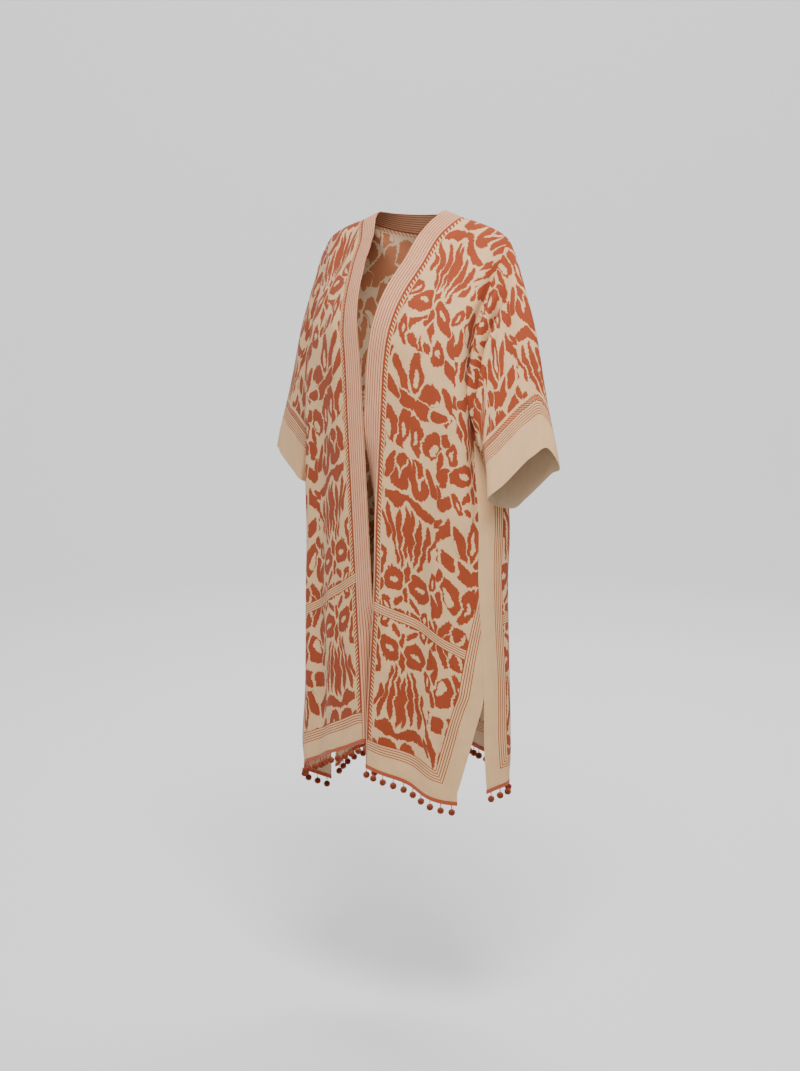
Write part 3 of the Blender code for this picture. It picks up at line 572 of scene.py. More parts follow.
SPOTS = table("layer x y wide tall lean", [
    ("dye", 0.00, 45.0, 1.34, 3.63, 0),
    ("dye", 2.25, 43.8, 1.24, 3.50, 26),
    ("dye", 4.10, 40.8, 1.18, 3.23, 52),
    ("dye", 1.45, 39.5, 1.54, 2.31, 20),
    ("dye", 5.45, 45.9, 0.88, 2.11, -14),
    ("dye", 6.00, 41.5, 0.64, 1.52, 10),
    ("dye", 5.55, 37.2, 0.82, 1.91, 18),
    ("dye", 1.25, 33.4, 1.29, 4.16, -6),
    ("dye", 3.85, 34.1, 1.49, 3.63, 16),
    ("dye", 5.80, 32.0, 0.74, 2.51, -6),
    ("dye", 2.10, 26.3, 2.10, 2.73, 14),
    ("dye", 4.45, 27.3, 1.13, 2.31, -24),
    ("dye", 6.10, 26.7, 0.68, 2.11, 0),
    ("dye", 2.60, 22.0, 3.30, 1.09, 12),
    ("dye", 5.90, 22.1, 0.62, 1.65, 24),
    ("dye", 0.55, 15.9, 0.68, 5.15, 0),
    ("dye", 1.90, 15.2, 0.68, 5.68, 6),
    ("dye", 3.30, 15.3, 0.72, 5.54, 14),
    ("dye", 4.75, 16.4, 0.68, 4.62, 26),
    ("dye", 6.05, 18.2, 0.57, 3.04, 34),
    ("dye", 2.55, 7.7, 2.35, 2.08, -22),
    ("dye", 0.00, 8.6, 0.88, 1.72, 0),
    ("dye", 5.30, 10.9, 0.93, 2.18, 16),
    ("dye", 5.65, 6.4, 0.82, 2.05, -14),
    ("dye", 0.00, 4.8, 0.68, 1.52, 0),
    ("dye", 1.45, 3.9, 0.68, 1.52, -52),
    ("dye", 1.25, 1.3, 0.70, 1.58, -122),
    ("dye", 0.00, 0.5, 0.64, 1.32, 0),
    ("dye", 3.45, 2.5, 1.03, 2.18, 20),
    ("dye", 5.50, 2.0, 0.82, 1.78, -16),
    ("bare", 0.00, 44.6, 0.41, 1.58, 0),
    ("bare", 3.00, 43.2, 0.27, 1.45, 30),
    ("bare", 4.30, 33.3, 0.52, 1.78, 14),
    ("bare", 1.25, 32.5, 0.37, 1.52, -4),
    ("bare", 1.65, 26.8, 0.23, 1.39, -36),
    ("bare", 2.75, 26.4, 0.23, 1.39, 32),
    ("bare", 2.55, 7.7, 0.95, 0.44, -22),
    ("bare", 5.35, 10.8, 0.25, 0.87, 0),
    ("bare", 3.45, 2.5, 0.27, 0.82, 20),
])
COLUMN_SPACING = 12.5
REPEAT = 48.8
ROW_ARCH = 0.35
VEIN = 0.24
VEIN_SPREAD = 0.80
VEIN_WAVES = 0.30
PRINT_BLUR = 0.03
FAR_AWAY = 99.0

# How the cloth's threads slip out of place: broad and middling sways, then feathered edges
SWAYS = table("moves across_pitch up_pitch seed detail reach", [
    ("x", 0.08, 0.08, 5.0, 0.0, 3.0),
    ("y", 0.10, 0.08, 77.0, 0.0, 5.0),
    ("x", 0.20, 0.30, 0.0, 1.0, 2.6),
    ("y", 0.34, 0.20, 31.0, 1.0, 2.2),
    ("x", 0.90, 2.60, 7.0, 0.0, 0.42),
    ("y", 2.80, 0.80, 50.0, 0.0, 0.60),
])

RUST = (0.275, 0.047, 0.016)
CREAM = (0.635, 0.390, 0.195)
RUST_REVERSE = (0.36, 0.13, 0.06)
CREAM_REVERSE = (0.55, 0.38, 0.23)


# How shader nodes are put together: a Wire is a node's output, and sums with it add math nodes


def plug(value, entry):
    """Feeds a node's entry with a wire or a plain value."""
    if isinstance(value, Wire):
        value.tree.links.new(value.socket, entry)
    else:
        entry.default_value = value


def node(tree, kind, entries, **settings):
    """New shader node with these settings and entries."""
    made = tree.nodes.new("ShaderNode" + kind)
    for name, setting in settings.items():
        setattr(made, name, setting)
    for name, value in entries.items():
        plug(value, made.inputs[name])
    return made


class Wire:
    """Output of a shader node."""

    def __init__(self, socket):
        self.socket = socket
        self.tree = socket.id_data

    def math(self, operation, *others):
        made = node(self.tree, "Math", {}, operation=operation)
        for value, entry in zip((self, *others), made.inputs):
            plug(value, entry)
        return Wire(made.outputs[0])

    def times_plus(self, factor, addend):
        return self.math("MULTIPLY_ADD", factor, addend)

    def part(self):
        """What is left after whole numbers are taken off."""
        return self.math("FRACT")

    def __add__(self, other):
        return self.math("ADD", other)

    def __sub__(self, other):
        return self.math("SUBTRACT", other)

    def __mul__(self, other):
        return self.math("MULTIPLY", other)

    def __truediv__(self, other):
        return self.math("DIVIDE", other)

    def __lt__(self, other):
        return self.math("LESS_THAN", other)

    def __gt__(self, other):
        return self.math("GREATER_THAN", other)

    def __abs__(self):
        return self.math("ABSOLUTE")


def point(x, y):
    """Place on the flat cloth, of which at least y is a wire."""
    return Wire(node(y.tree, "CombineXYZ", {"X": x, "Y": y}).outputs[0])


def cloud(place, scale, detail):
    """Smooth noise at a place, from 0 to 1."""
    entries = {"Vector": place, "Scale": scale, "Detail": detail}
    return Wire(node(place.tree, "TexNoise", entries).outputs["Fac"])


def reach(place):
    """Distance of a place from zero."""
    made = node(place.tree, "VectorMath", {0: place}, operation="LENGTH")
    return Wire(made.outputs["Value"])


def soft_step(value, start, end):
    """0 before start and 1 after end, or the other way round."""
    entries = {"Value": value, "From Min": start, "From Max": end}
    return Wire(node(value.tree, "MapRange", entries).outputs["Result"])


def over(below, above, mask):
    """The layer above where the mask is 1, and the one below elsewhere."""
    entries = {"Factor": mask, "A": below, "B": above}
    return Wire(node(mask.tree, "Mix", entries, data_type="FLOAT").outputs["Result"])


def uv(tree, name):
    """Both coordinates of one of the cloth's UV maps."""
    source = node(tree, "UVMap", {}, uv_map=name)
    split = node(tree, "SeparateXYZ", {0: Wire(source.outputs[0])})
    return Wire(split.outputs[0]), Wire(split.outputs[1])


def paint(shader, colour, tone):
    """Sets a shader's colour, made lighter or darker by a tone."""
    shade = node(tone.tree, "VectorMath", {0: colour, "Scale": tone}, operation="SCALE")
    plug(Wire(shade.outputs[0]), shader.inputs["Base Color"])


def raise_surface(shader, height, strength, depth):
    entries = {"Height": height, "Strength": strength, "Distance": depth}
    bump = node(height.tree, "Bump", entries)
    plug(Wire(bump.outputs["Normal"]), shader.inputs["Normal"])


def fibres(name, surface):
    """Matt material with a soft sheen, still to be given its colour."""
    material = bpy.data.materials.new(name)
    material.use_nodes = True
    shader = material.node_tree.nodes["Principled BSDF"]
    for entry, value in surface.items():
        plug(value, shader.inputs[entry])
    return material, material.node_tree, shader


def ikat_print():
    """Node group: how much rust dye is at a place on the flat cloth, in centimetres."""
    tree = bpy.data.node_groups.new("ikat_print", "ShaderNodeTree")
    for name, way in (("across", "INPUT"), ("up", "INPUT"), ("dye", "OUTPUT")):
        tree.interface.new_socket(name, in_out=way, socket_type="NodeSocketFloat")
    inside = tree.nodes.new("NodeGroupInput")
    across = Wire(inside.outputs["across"])
    up = Wire(inside.outputs["up"])
    swayed = across
    raised = up
    for sway in SWAYS:
        along = across.times_plus(sway.across_pitch, sway.seed)
        offset = cloud(point(along, up * sway.up_pitch), 1.0, sway.detail) - 0.5
        if sway.moves == "x":
            swayed = offset.times_plus(sway.reach, swayed)
        else:
            raised = offset.times_plus(sway.reach, raised)
    column = (swayed / COLUMN_SPACING).math("ROUND")
    x = abs(column.times_plus(-COLUMN_SPACING, swayed))
    dropped = column.times_plus(REPEAT / 2, raised)
    y = x.times_plus(ROW_ARCH, dropped).math("FLOORED_MODULO", REPEAT)
    spot_place = point(x, y)
    nearest = FAR_AWAY
    second = FAR_AWAY
    bare = FAR_AWAY
    for spot in SPOTS:
        entries = {
            "Vector": spot_place,
            "Location": (spot.x, spot.y, 0.0),
            "Rotation": (0.0, 0.0, -math.radians(spot.lean)),
            "Scale": (spot.wide, spot.tall, 1.0),
        }
        own_frame = node(tree, "Mapping", entries, vector_type="TEXTURE")
        width = min(spot.wide, spot.tall)
        past = reach(Wire(own_frame.outputs[0])).times_plus(width, -width)
        if spot.layer == "bare":
            bare = past.math("MINIMUM", bare)
        else:
            second = past.math("MAXIMUM", nearest).math("MINIMUM", second)
            nearest = past.math("MINIMUM", nearest)
    uneven = cloud(point(across, up), VEIN_WAVES, 0.0) - 0.5
    vein = uneven.times_plus(VEIN_SPREAD, VEIN)
    within = soft_step(nearest, PRINT_BLUR, -PRINT_BLUR)
    off_vein = soft_step(second - nearest - vein, -PRINT_BLUR, PRINT_BLUR)
    off_bare = soft_step(bare, -PRINT_BLUR, PRINT_BLUR)
    outside = tree.nodes.new("NodeGroupOutput")
    plug(within * off_vein * off_bare, outside.inputs["dye"])
    return tree


IKAT = ikat_print()
CENTIMETRES = 100.0

Layout = namedtuple("Layout", "turn_at hem_cream side_cream strip edging")
BORDER_LINES = 5
LINE_PITCH = 0.0044
LINE_SHARE = 0.36
CROSSING = 0.2850
EDGING_LINE = 0.0030
EDGING_TEETH = 0.0090
EDGING_WIDTH = 0.0105
TOOTH_PITCH = 0.0076
TOOTH_SLANT = 0.75
TOOTH_SHARE = 0.56
EDGING_LOOP = 0.0064
LOOP_RADIUS = 0.32
LOOP_HALF_LINE = 0.17
SECOND_LOOPS = 1.45
HEM_FOLD = 0.0245
STITCH_WIDTH = 0.0009
STITCH_PITCH = 0.0034
STITCH_SHARE = 0.62
STITCH_DEPTH = -6.0

# Threads of the weave, and slubs per metre across and up
WARP_PITCH = 0.00085
WEFT_PITCH = 0.00095
SLUBS = (60.0, 900.0)
SLUB_HEIGHT = 2.2
WEAVE_STRENGTH = 0.22
WEAVE_DEPTH = 0.00012
CLOTH_SURFACE = {
    "Roughness": 0.78,
    "Specular IOR Level": 0.18,
    "Sheen Weight": 0.06,
    "Sheen Roughness": 0.45,
}

# Waves per metre of uneven dyeing and of thread streaks, then how far each one changes the
# tone and the darkest tone that it gives
DYE_WAVES = 26.0
STREAK_WAVES = (1100.0, 30.0)
DYE_TONES = (0.30, 0.85)
STREAK_TONES = (0.24, 0.88)


def lines(distance, start):
    """Thin rust lines from a distance on, and whether a place lies among them or before."""
    place = (distance - start) / LINE_PITCH
    drawn = (place.part() < LINE_SHARE) * (place > 0.0)
    return drawn, place < BORDER_LINES - 1 + LINE_SHARE


def teeth(distance, along):
    """A dyed line along a seam, with slanting teeth on it."""
    place = distance.times_plus(TOOTH_SLANT, along) / TOOTH_PITCH
    toothed = (place.part() < TOOTH_SHARE) * (distance < EDGING_TEETH)
    return toothed.math("MAXIMUM", distance < EDGING_LINE)


def loops(distance, along, middle):
    """A row of small dyed loops beside a border."""
    offset = (along / EDGING_LOOP).part() - 0.5
    side = (distance - middle) / EDGING_LOOP
    return reach(point(offset, side)).math("COMPARE", LOOP_RADIUS, LOOP_HALF_LINE)


def stitches(distance, along):
    """A row of small stitches that hold a folded hem."""
    on_row = abs(distance - HEM_FOLD) < STITCH_WIDTH / 2
    return on_row * ((along / STITCH_PITCH).part() < STITCH_SHARE)


def weave(shader, across, up, sewn=None):
    """Plain weave with slubs, raised a fraction of a thread, and sewn in where asked."""
    warp = (across * (2 * math.pi / WARP_PITCH)).math("SINE")
    weft = (up * (2 * math.pi / WEFT_PITCH)).math("SINE")
    slub = cloud(point(across * SLUBS[0], up * SLUBS[1]), 1.0, 2.0)
    height = slub.times_plus(SLUB_HEIGHT, warp * weft)
    if sewn is not None:
        height = sewn.times_plus(STITCH_DEPTH, height)
    raise_surface(shader, height, WEAVE_STRENGTH, WEAVE_DEPTH)


def colour_by(shader, dye, rust, cream, across, up):
    """Sets the cloth's colour from the dye, with uneven dyeing and faint thread streaks."""
    patches = cloud(point(across, up), DYE_WAVES, 3.0)
    streaks = cloud(point(across * STREAK_WAVES[0], up * STREAK_WAVES[1]), 1.0, 2.0)
    tone = patches.times_plus(*DYE_TONES) * streaks.times_plus(*STREAK_TONES)
    entries = {"Factor": dye, "A": (*cream, 1.0), "B": (*rust, 1.0)}
    blend = node(dye.tree, "Mix", entries, data_type="RGBA")
    paint(shader, Wire(blend.outputs["Result"]), tone)


def printed_cloth(name, layout, rust, cream):
    """Printed cloth whose borders run along the hem, the side and the band's seam."""
    material, tree, shader = fibres(name, CLOTH_SURFACE)
    across, up = uv(tree, "cloth")
    side, hem = uv(tree, "edges")
    seam, along_seam = uv(tree, "seam")
    motif = tree.nodes.new("ShaderNodeGroup")
    motif.node_tree = IKAT
    plug(across * CENTIMETRES, motif.inputs["across"])
    plug(abs(up - layout.turn_at) * CENTIMETRES, motif.inputs["up"])
    dye = Wire(motif.outputs["dye"])
    if layout.edging:
        dye = over(dye, teeth(seam, along_seam), seam < EDGING_WIDTH)
    if layout.turn_at > 0:
        drawn, within = lines(up, CROSSING)
        dye = over(dye, drawn, within * (up > CROSSING))
    if layout.strip > 0:
        start = layout.hem_cream + BORDER_LINES * LINE_PITCH
        first = loops(hem, across, start + EDGING_LOOP / 2)
        second = loops(hem, across + EDGING_LOOP / 2, start + EDGING_LOOP * SECOND_LOOPS)
        dye = over(dye, first.math("MAXIMUM", second), hem < start + layout.strip)
    edge = hem
    if layout.side_cream > 0:
        edge = (side + (layout.hem_cream - layout.side_cream)).math("MINIMUM", hem)
    drawn, within = lines(edge, layout.hem_cream)
    dye = over(dye, drawn, within)
    colour_by(shader, dye, rust, cream, across, up)
    weave(shader, across, up, stitches(edge, across + up))
    return material


BODY_LAYOUT = Layout(
    turn_at=0.296, hem_cream=0.0285, side_cream=0.030, strip=0.0, edging=True
)
BODY_FACE = printed_cloth("body_print", BODY_LAYOUT, RUST, CREAM)
BODY_REVERSE = printed_cloth("body_print_reverse", BODY_LAYOUT, RUST_REVERSE, CREAM_REVERSE)
FRONT_PRINT_START = COLUMN_SPACING / 2 / CENTIMETRES
# The left front hangs askew, so its print sinks towards the side
FRONT_SKEW = {"left": 0.135, "right": 0.0}

# How far beyond the front's side edge its border line would run, which leaves the border
# only beside the slit
SIDE_PRINTS = table("z beyond", [
    (-0.400, 0.110),
    (-0.640, 0.056),
    (-0.700, 0.041),
    (-0.750, 0.027),
    (-0.800, 0.014),
    (-0.850, 0.004),
    (-0.880, 0.000),
    (-1.080, 0.000),
])

hem_lines = {}
for side in ("left", "right"):
    grid = front_sheet(side)
    hem_lines[side] = grid[-1].copy()
    front_up = walked(grid, 0, "last")
    side_gap = distance_to(grid, grid[ARMHOLE_STEPS:, -1])
    side_gap += follow(SIDE_PRINTS, "beyond", "z", grid[..., 2])
    front_across = walked(grid, 1, "first")
    print_up = front_up + FRONT_SKEW[side] * front_across
    maps = {
        "cloth": (front_across - FRONT_PRINT_START, print_up),
        "edges": (side_gap, distance_to(grid, grid[-1])),
        "seam": (distance_to(grid, grid[:, 0]), front_up),
    }
    rumple(grid, open_normals(grid))
    set_back(grid, 1, "last", SEAM_SET_BACK)
    set_back(grid, 0, "first", SEAM_SET_BACK)
    set_back(grid, 1, "first", SEAM_SET_BACK)
    name = "front_" + side
    piece = cloth_piece(name + "_cloth", placed(grid, side), maps, BODY_FACE, BODY_REVERSE)
    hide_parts(name)


# Back: one printed panel across the whole width, without a centre seam. It hangs from both
# shoulder seams and the neck band, and stands off the body in deep soft folds to its hem.

NECK_ROUND_DEPTH = 0.045
NECK_ROUND_FALL = 0.006
BAND_BACK_REACH = 0.022
BAND_BACK_FALL = 0.0235
BACK_NECK_STEPS = 20
BACK_SHOULDER_STEPS = 36
BACK_EDGE_HOLD = 8
# Beyond the reach of every border
OUT_OF_BORDERS = 1.0


def neck_round(round_share, band_share):
    """Points of the band behind the neck, from the shoulder (0) to the centre back (1)."""
    angle = round_share * math.pi / 2
    corner = shoulder_line(NECK_HALF_WIDTH + BAND_WIDTH * band_share)
    x = corner[..., 0] * np.cos(angle)
    y = corner[..., 1] + (NECK_ROUND_DEPTH + BAND_BACK_REACH * band_share) * np.sin(angle)
    z = corner[..., 2] - (NECK_ROUND_FALL + BAND_BACK_FALL * band_share) * np.sin(angle)
    return joined(x, y, z)


def back_sheet(side):
    """Half of the back's outer face, columns from the centre to the side."""
    columns = BACK_NECK_STEPS + BACK_SHOULDER_STEPS
    rows = CLOTH_ROWS[:, None]
    share = np.linspace(0.0, 1.0, columns + 1)[None, :]
    corner = BACK_NECK_STEPS / columns
    along = np.clip((share - corner) / (1 - corner), 0.0, 1.0)
    shoulder = shoulder_line(mix(NECK_HALF_WIDTH + BAND_WIDTH, TIP_HALF_WIDTH, along))
    neck = neck_round(np.clip(1 - share / corner, 0.0, 1.0), 1.0)
    top = np.where((share >= corner)[..., None], shoulder, neck)
    edge_turn, edge_z, tuck = side_edge(side, "back", rows)
    wide = 180.0 - np.degrees(np.arcsin(top[..., 0] / GIRTHS[0].left))
    low = mix(180.0, edge_turn, share)
    held = mix(mix(wide, low, ease(rows / ARMHOLE_ROWS)), edge_turn, share ** BACK_EDGE_HOLD)
    turn = np.where(rows < ARMHOLE_ROWS, held, low)
    underarm = mix(CENTRE_UNDERARM_Z, UNDERARM_Z, share)
    slit = mix(CENTRE_SLIT_Z, SLIT_TOP_Z, share)
    z = row_height(rows, top[..., 2], underarm, slit, follow(HEMS, side, "turn", turn))
    z[:, -1] = edge_z[:, 0]
    return body_face(side, "back", top, turn, z, edge_turn, tuck)


halves = {side: back_sheet(side) for side in ("left", "right")}
far_half = placed(halves["right"], "right")
full_back = np.concatenate([halves["left"][:, ::-1], far_half[:, 1:]], axis=1)
hem_lines["back"] = full_back[-1].copy()
middle = BACK_NECK_STEPS + BACK_SHOULDER_STEPS
across = walked(full_back, 1, "first")
across -= across[:, middle : middle + 1]
up = walked(full_back, 0, "last")
side_gap = np.minimum(
    distance_to(full_back, full_back[ARMHOLE_STEPS:, 0]),
    distance_to(full_back, full_back[ARMHOLE_STEPS:, -1]),
)
side_gap[:ARMHOLE_STEPS] += OUT_OF_BORDERS
neck_line = full_back[0, middle - BACK_NECK_STEPS : middle + BACK_NECK_STEPS + 1]
maps = {
    "cloth": (across, up),
    "edges": (side_gap, distance_to(full_back, full_back[-1])),
    "seam": (distance_to(full_back, neck_line), across),
}
sewn = []
for side in ("left", "right"):
    half = halves[side]
    rumple(half, open_normals(half))
    set_back(half, 1, "last", SEAM_SET_BACK)
    set_back(half, 0, "first", SEAM_SET_BACK)
    sewn.append(placed(half, side))
sewn_back = np.concatenate([sewn[0][:, ::-1], sewn[1][:, 1:]], axis=1)
piece = cloth_piece("back_cloth", sewn_back, maps, BODY_FACE, BODY_REVERSE)
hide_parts("back")


# Sleeves: a wide elbow sleeve each side, one printed piece folded over the arm and joined
# below, set on the dropped shoulder, with a plain cream end and a dyed strip above it.

CUFFS = table("place left_x left_y left_z right_x right_y right_z", [
    ("outer corner", 0.333, 0.014, -0.442, 0.339, 0.014, -0.446),
    ("front pinch", 0.318, -0.003, -0.407, 0.325, 0.002, -0.450),
    ("front upper", 0.301, -0.022, -0.421, 0.308, -0.010, -0.458),
    ("front middle", 0.290, -0.031, -0.433, 0.286, -0.020, -0.469),
    ("front lower", 0.262, -0.052, -0.470, 0.254, -0.034, -0.484),
    ("front corner", 0.236, -0.065, -0.496, 0.225, -0.045, -0.498),
    ("underside", 0.226, -0.022, -0.514, 0.223, -0.006, -0.512),
    ("back corner", 0.232, 0.018, -0.521, 0.230, 0.034, -0.520),
    ("back lower", 0.247, 0.033, -0.504, 0.258, 0.048, -0.504),
    ("back middle", 0.271, 0.038, -0.481, 0.290, 0.046, -0.481),
    ("back upper", 0.302, 0.033, -0.456, 0.320, 0.034, -0.460),
])
CUFF_UNDERSIDE = 6
CUFF_EVENNESS = 0.65
CUFF_STEPS = 24

NEAR_REACH = 0.080
NEAR_STEPS = 24
FAR_STEPS = 38
SHORTEST_FULL_SLEEVE = 2.2 * NEAR_REACH
SLEEVE_CAP_RISE = 0.013
SLEEVE_CAP_SHARE = 0.62
SLEEVE_CAP_ROWS = 9.6
SLEEVE_CAP_OUT = np.array([0.93, 0.0, 0.36])
SLEEVE_SIDE_SWELL = 0.008
SLEEVE_SWELL_ROWS = (5, 10)
SLEEVE_FOLD_START = 0.023

SLEEVE_FOLDS = table("face distance left_rise right_rise spread last_row", [
    ("front", 0.025, 0.017, 0.008, 0.0120, 12.0),
    ("front", 0.047, -0.021, -0.014, 0.0085, 12.0),
    ("front", 0.066, 0.009, 0.007, 0.0120, 12.0),
    ("back", 0.028, 0.010, 0.007, 0.0120, 10.0),
    ("back", 0.052, -0.010, -0.010, 0.0110, 10.0),
])
SLEEVE_FOLD_TOP_Z = -0.085
SLEEVE_FOLD_FADE = 0.10
SLEEVE_FOLD_END = 2.0

SLEEVE_LAYOUT = Layout(
    turn_at=0.0, hem_cream=0.060, side_cream=0.0, strip=0.018, edging=False
)
SLEEVE_FACE = printed_cloth("sleeve_print", SLEEVE_LAYOUT, RUST, CREAM)
SLEEVE_REVERSE = printed_cloth("sleeve_print_reverse", SLEEVE_LAYOUT, RUST_REVERSE, CREAM_REVERSE)


def cuff_edge(side):
    """Closed smooth curve through the cuff's points."""
    knots = np.array([[getattr(row, side + axis) for axis in ("_x", "_y", "_z")] for row in CUFFS])
    t = (np.arange(CUFF_STEPS) / CUFF_STEPS)[None, :, None]
    before, start, end, after = (np.roll(knots, -k, axis=0)[:, None] for k in (-1, 0, 1, 2))
    a = 2 * start
    b = (end - before) * t
    c = (2 * before - 5 * start + 4 * end - after) * t ** 2
    d = (3 * start - before - 3 * end + after) * t ** 3
    return ((a + b + c + d) / 2).reshape(-1, 3)


def along_line(line, shares):
    """Points at shares of a line's length."""
    steps = np.linalg.norm(np.diff(line, axis=0), axis=1)
    gone = np.concatenate([[0.0], np.cumsum(steps)])
    return np.stack([np.interp(shares * gone[-1], gone, line[:, k]) for k in range(3)], axis=1)


def round_normals(grid):
    """Unit normals of a closed sleeve, pointing away from each ring's middle."""
    along = np.gradient(grid, axis=0)
    normal = unit(np.cross(slope_around(grid), along))
    facing = (normal * (grid - grid.mean(axis=1, keepdims=True))).sum()
    return normal if facing > 0 else -normal


def sleeve_sheet(side):
    """Closed rings of a sleeve from the armhole to the cuff, each one from the shoulder's
    tip down the front to the underarm and back up behind."""
    front = front_sheet(side)[: ARMHOLE_STEPS + 1, -1]
    back = back_sheet(side)[: ARMHOLE_STEPS + 1, -1]
    armhole = np.concatenate([front, back[-2:0:-1]])
    rows = np.concatenate([CLOTH_ROWS[: ARMHOLE_STEPS + 1], CLOTH_ROWS[ARMHOLE_STEPS - 1 : 0 : -1]])
    curve = cuff_edge(side)
    underside = CUFF_UNDERSIDE * CUFF_STEPS
    shares = mix((rows / ARMHOLE_ROWS) ** ROW_GROWTH, rows / ARMHOLE_ROWS, CUFF_EVENNESS)
    cuff_front = along_line(curve[: underside + 1], shares[: ARMHOLE_STEPS + 1])
    cuff_behind = np.concatenate([curve[underside:], curve[:1]])
    cuff_back = along_line(cuff_behind, 1 - shares[ARMHOLE_STEPS + 1 :])
    cuff = np.concatenate([cuff_front, cuff_back])
    length = np.linalg.norm(cuff - armhole, axis=1)
    squeeze = np.minimum(1.0, length / SHORTEST_FULL_SLEEVE)
    near = np.linspace(0.0, NEAR_REACH, NEAR_STEPS + 1)[:, None] * squeeze
    far = mix(NEAR_REACH * squeeze, length, np.linspace(0.0, 1.0, FAR_STEPS + 1)[1:, None])
    distance = np.concatenate([near, far])
    share = distance / length
    grid = mix(armhole, cuff, share[..., None])
    arch = np.sin(math.pi * share ** SLEEVE_CAP_SHARE)
    topness = 1 - ease(rows / SLEEVE_CAP_ROWS)
    grid += SLEEVE_CAP_OUT * (SLEEVE_CAP_RISE * arch * topness)[..., None]
    grid[..., 0] += SLEEVE_SIDE_SWELL * arch * between(rows, SLEEVE_SWELL_ROWS)
    strength = ease((SLEEVE_FOLD_TOP_Z - armhole[:, 2]) / SLEEVE_FOLD_FADE)
    away = distance / squeeze
    on_front = np.arange(len(rows)) <= ARMHOLE_STEPS
    outward = round_normals(grid)
    lift = np.zeros(away.shape)
    for fold in SLEEVE_FOLDS:
        face = on_front if fold.face == "front" else ~on_front
        lasting = ease((fold.last_row - rows) / SLEEVE_FOLD_END)
        rise = getattr(fold, side + "_rise") * strength * lasting * face
        lift += rise * bell(away - fold.distance, fold.spread) * ease(away / SLEEVE_FOLD_START)
    return grid + outward * lift[..., None]


for side in ("left", "right"):
    grid = sleeve_sheet(side)
    rumple(grid, round_normals(grid), closed=True)
    loop = np.roll(grid, -ARMHOLE_STEPS, axis=1)
    around = walked(np.concatenate([loop, loop[:, :1]], axis=1), 1, "first")
    top_place = loop.shape[1] - ARMHOLE_STEPS
    around -= around[:, top_place : top_place + 1]
    up = walked(loop, 0, "last")
    up = np.concatenate([up, up[:, :1]], axis=1)
    beyond = up + OUT_OF_BORDERS
    maps = {"cloth": (around, up), "edges": (beyond, up), "seam": (beyond, around)}
    set_back(grid, 0, "first", SEAM_SET_BACK)
    loop = np.roll(grid, -ARMHOLE_STEPS, axis=1)
    name = "sleeve_" + side
    piece = cloth_piece(
        name + "_cloth", placed(loop, side), maps, SLEEVE_FACE, SLEEVE_REVERSE, closed=True
    )
    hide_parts(name)
    "front_" + side


# Front and neck band: a plain woven strip with thin stripes along it, in two halves joined
# at the centre back. It is sewn to the fronts' edges and round the neck, and it rolls in
# behind the panel where the front edge turns over on itself.

NECK_EDGES = table("z x", [
    (0.000, 0.0757),
    (-0.052, 0.0505),
    (-0.093, 0.0430),
    (-0.130, 0.0320),
    (-0.170, 0.0226),
    (-0.215, 0.0145),
    (-0.275, 0.0067),
    (-0.370, 0.0012),
])
BAND_TURN_RUN = 0.010
BAND_STRAIGHT_Z = -0.370
BAND_STEPS = 16
BAND_ROLL_STEPS = 24
BAND_GROUND = (0.63, 0.32, 0.18)
BAND_STRIPE = (0.25, 0.045, 0.018)
BAND_STRIPE_PITCH = 0.0052
BAND_STRIPE_SHARE = 0.24
BAND_STRIPE_WAVES = 30.0
BAND_STRIPE_WANDER = 0.0012
FLAT_TILT = 0.01


def turned(seam, beside, tilt, run):
    """Points on the band where it is rolled in behind its seam with the panel."""
    start = np.arctan2(seam[..., 1] - beside[..., 1], beside[..., 0] - seam[..., 0])
    x = seam[..., 0] + np.zeros(run.shape)
    y = seam[..., 1] + np.zeros(run.shape)
    for step in range(BAND_ROLL_STEPS):
        here = run * (step + 0.5) / BAND_ROLL_STEPS
        angle = mix(start, tilt, ease(here / BAND_TURN_RUN))
        x = x - np.cos(angle) * run / BAND_ROLL_STEPS
        y = y + np.sin(angle) * run / BAND_ROLL_STEPS
    return joined(x, y, seam[..., 2])


def band_sheet(side):
    """Outer face of half of the band: from the hem up the front, then to the centre back."""
    front = front_sheet(side)
    rows = CLOTH_ROWS[:, None]
    run = np.linspace(0.0, BAND_WIDTH, BAND_STEPS + 1)[None, :]
    share = run / BAND_WIDTH
    seam_z = band_seam(side, rows)[1]
    hem_z = follow(HEMS, side, "turn", BAND_HEM_TURN)
    neck_z = row_height(rows, 0.0, NECK_UNDERARM_Z, CENTRE_SLIT_Z, hem_z)
    seam = front[:, :1]
    tilt = np.radians(follow(FRONT_EDGES, side + "_turn", "z", seam_z))
    curved = follow(NECK_EDGES, "x", "z", neck_z)
    neck_x = np.where(seam_z > BAND_STRAIGHT_Z, curved, seam[..., 0] - BAND_WIDTH)
    z = mix(seam_z, neck_z, share)
    x = mix(seam[..., 0], neck_x, share)
    top = shoulder_line(NECK_HALF_WIDTH + BAND_WIDTH * (1 - share))
    turn = np.degrees(np.arcsin(x / follow(GIRTHS, side, "z", z)))
    flat = body_face(side, "front", top, turn, z, 90.0, 0.0)
    flat[..., 0] = x
    rolled = turned(seam, front[:, 1:2], tilt, run + np.zeros_like(seam_z))
    down = np.where((tilt < FLAT_TILT)[..., None], flat, rolled)
    round_share = np.linspace(0.0, 1.0, BACK_NECK_STEPS + 1)[1:, None]
    return np.concatenate([down[::-1], neck_round(round_share, 1 - share)])


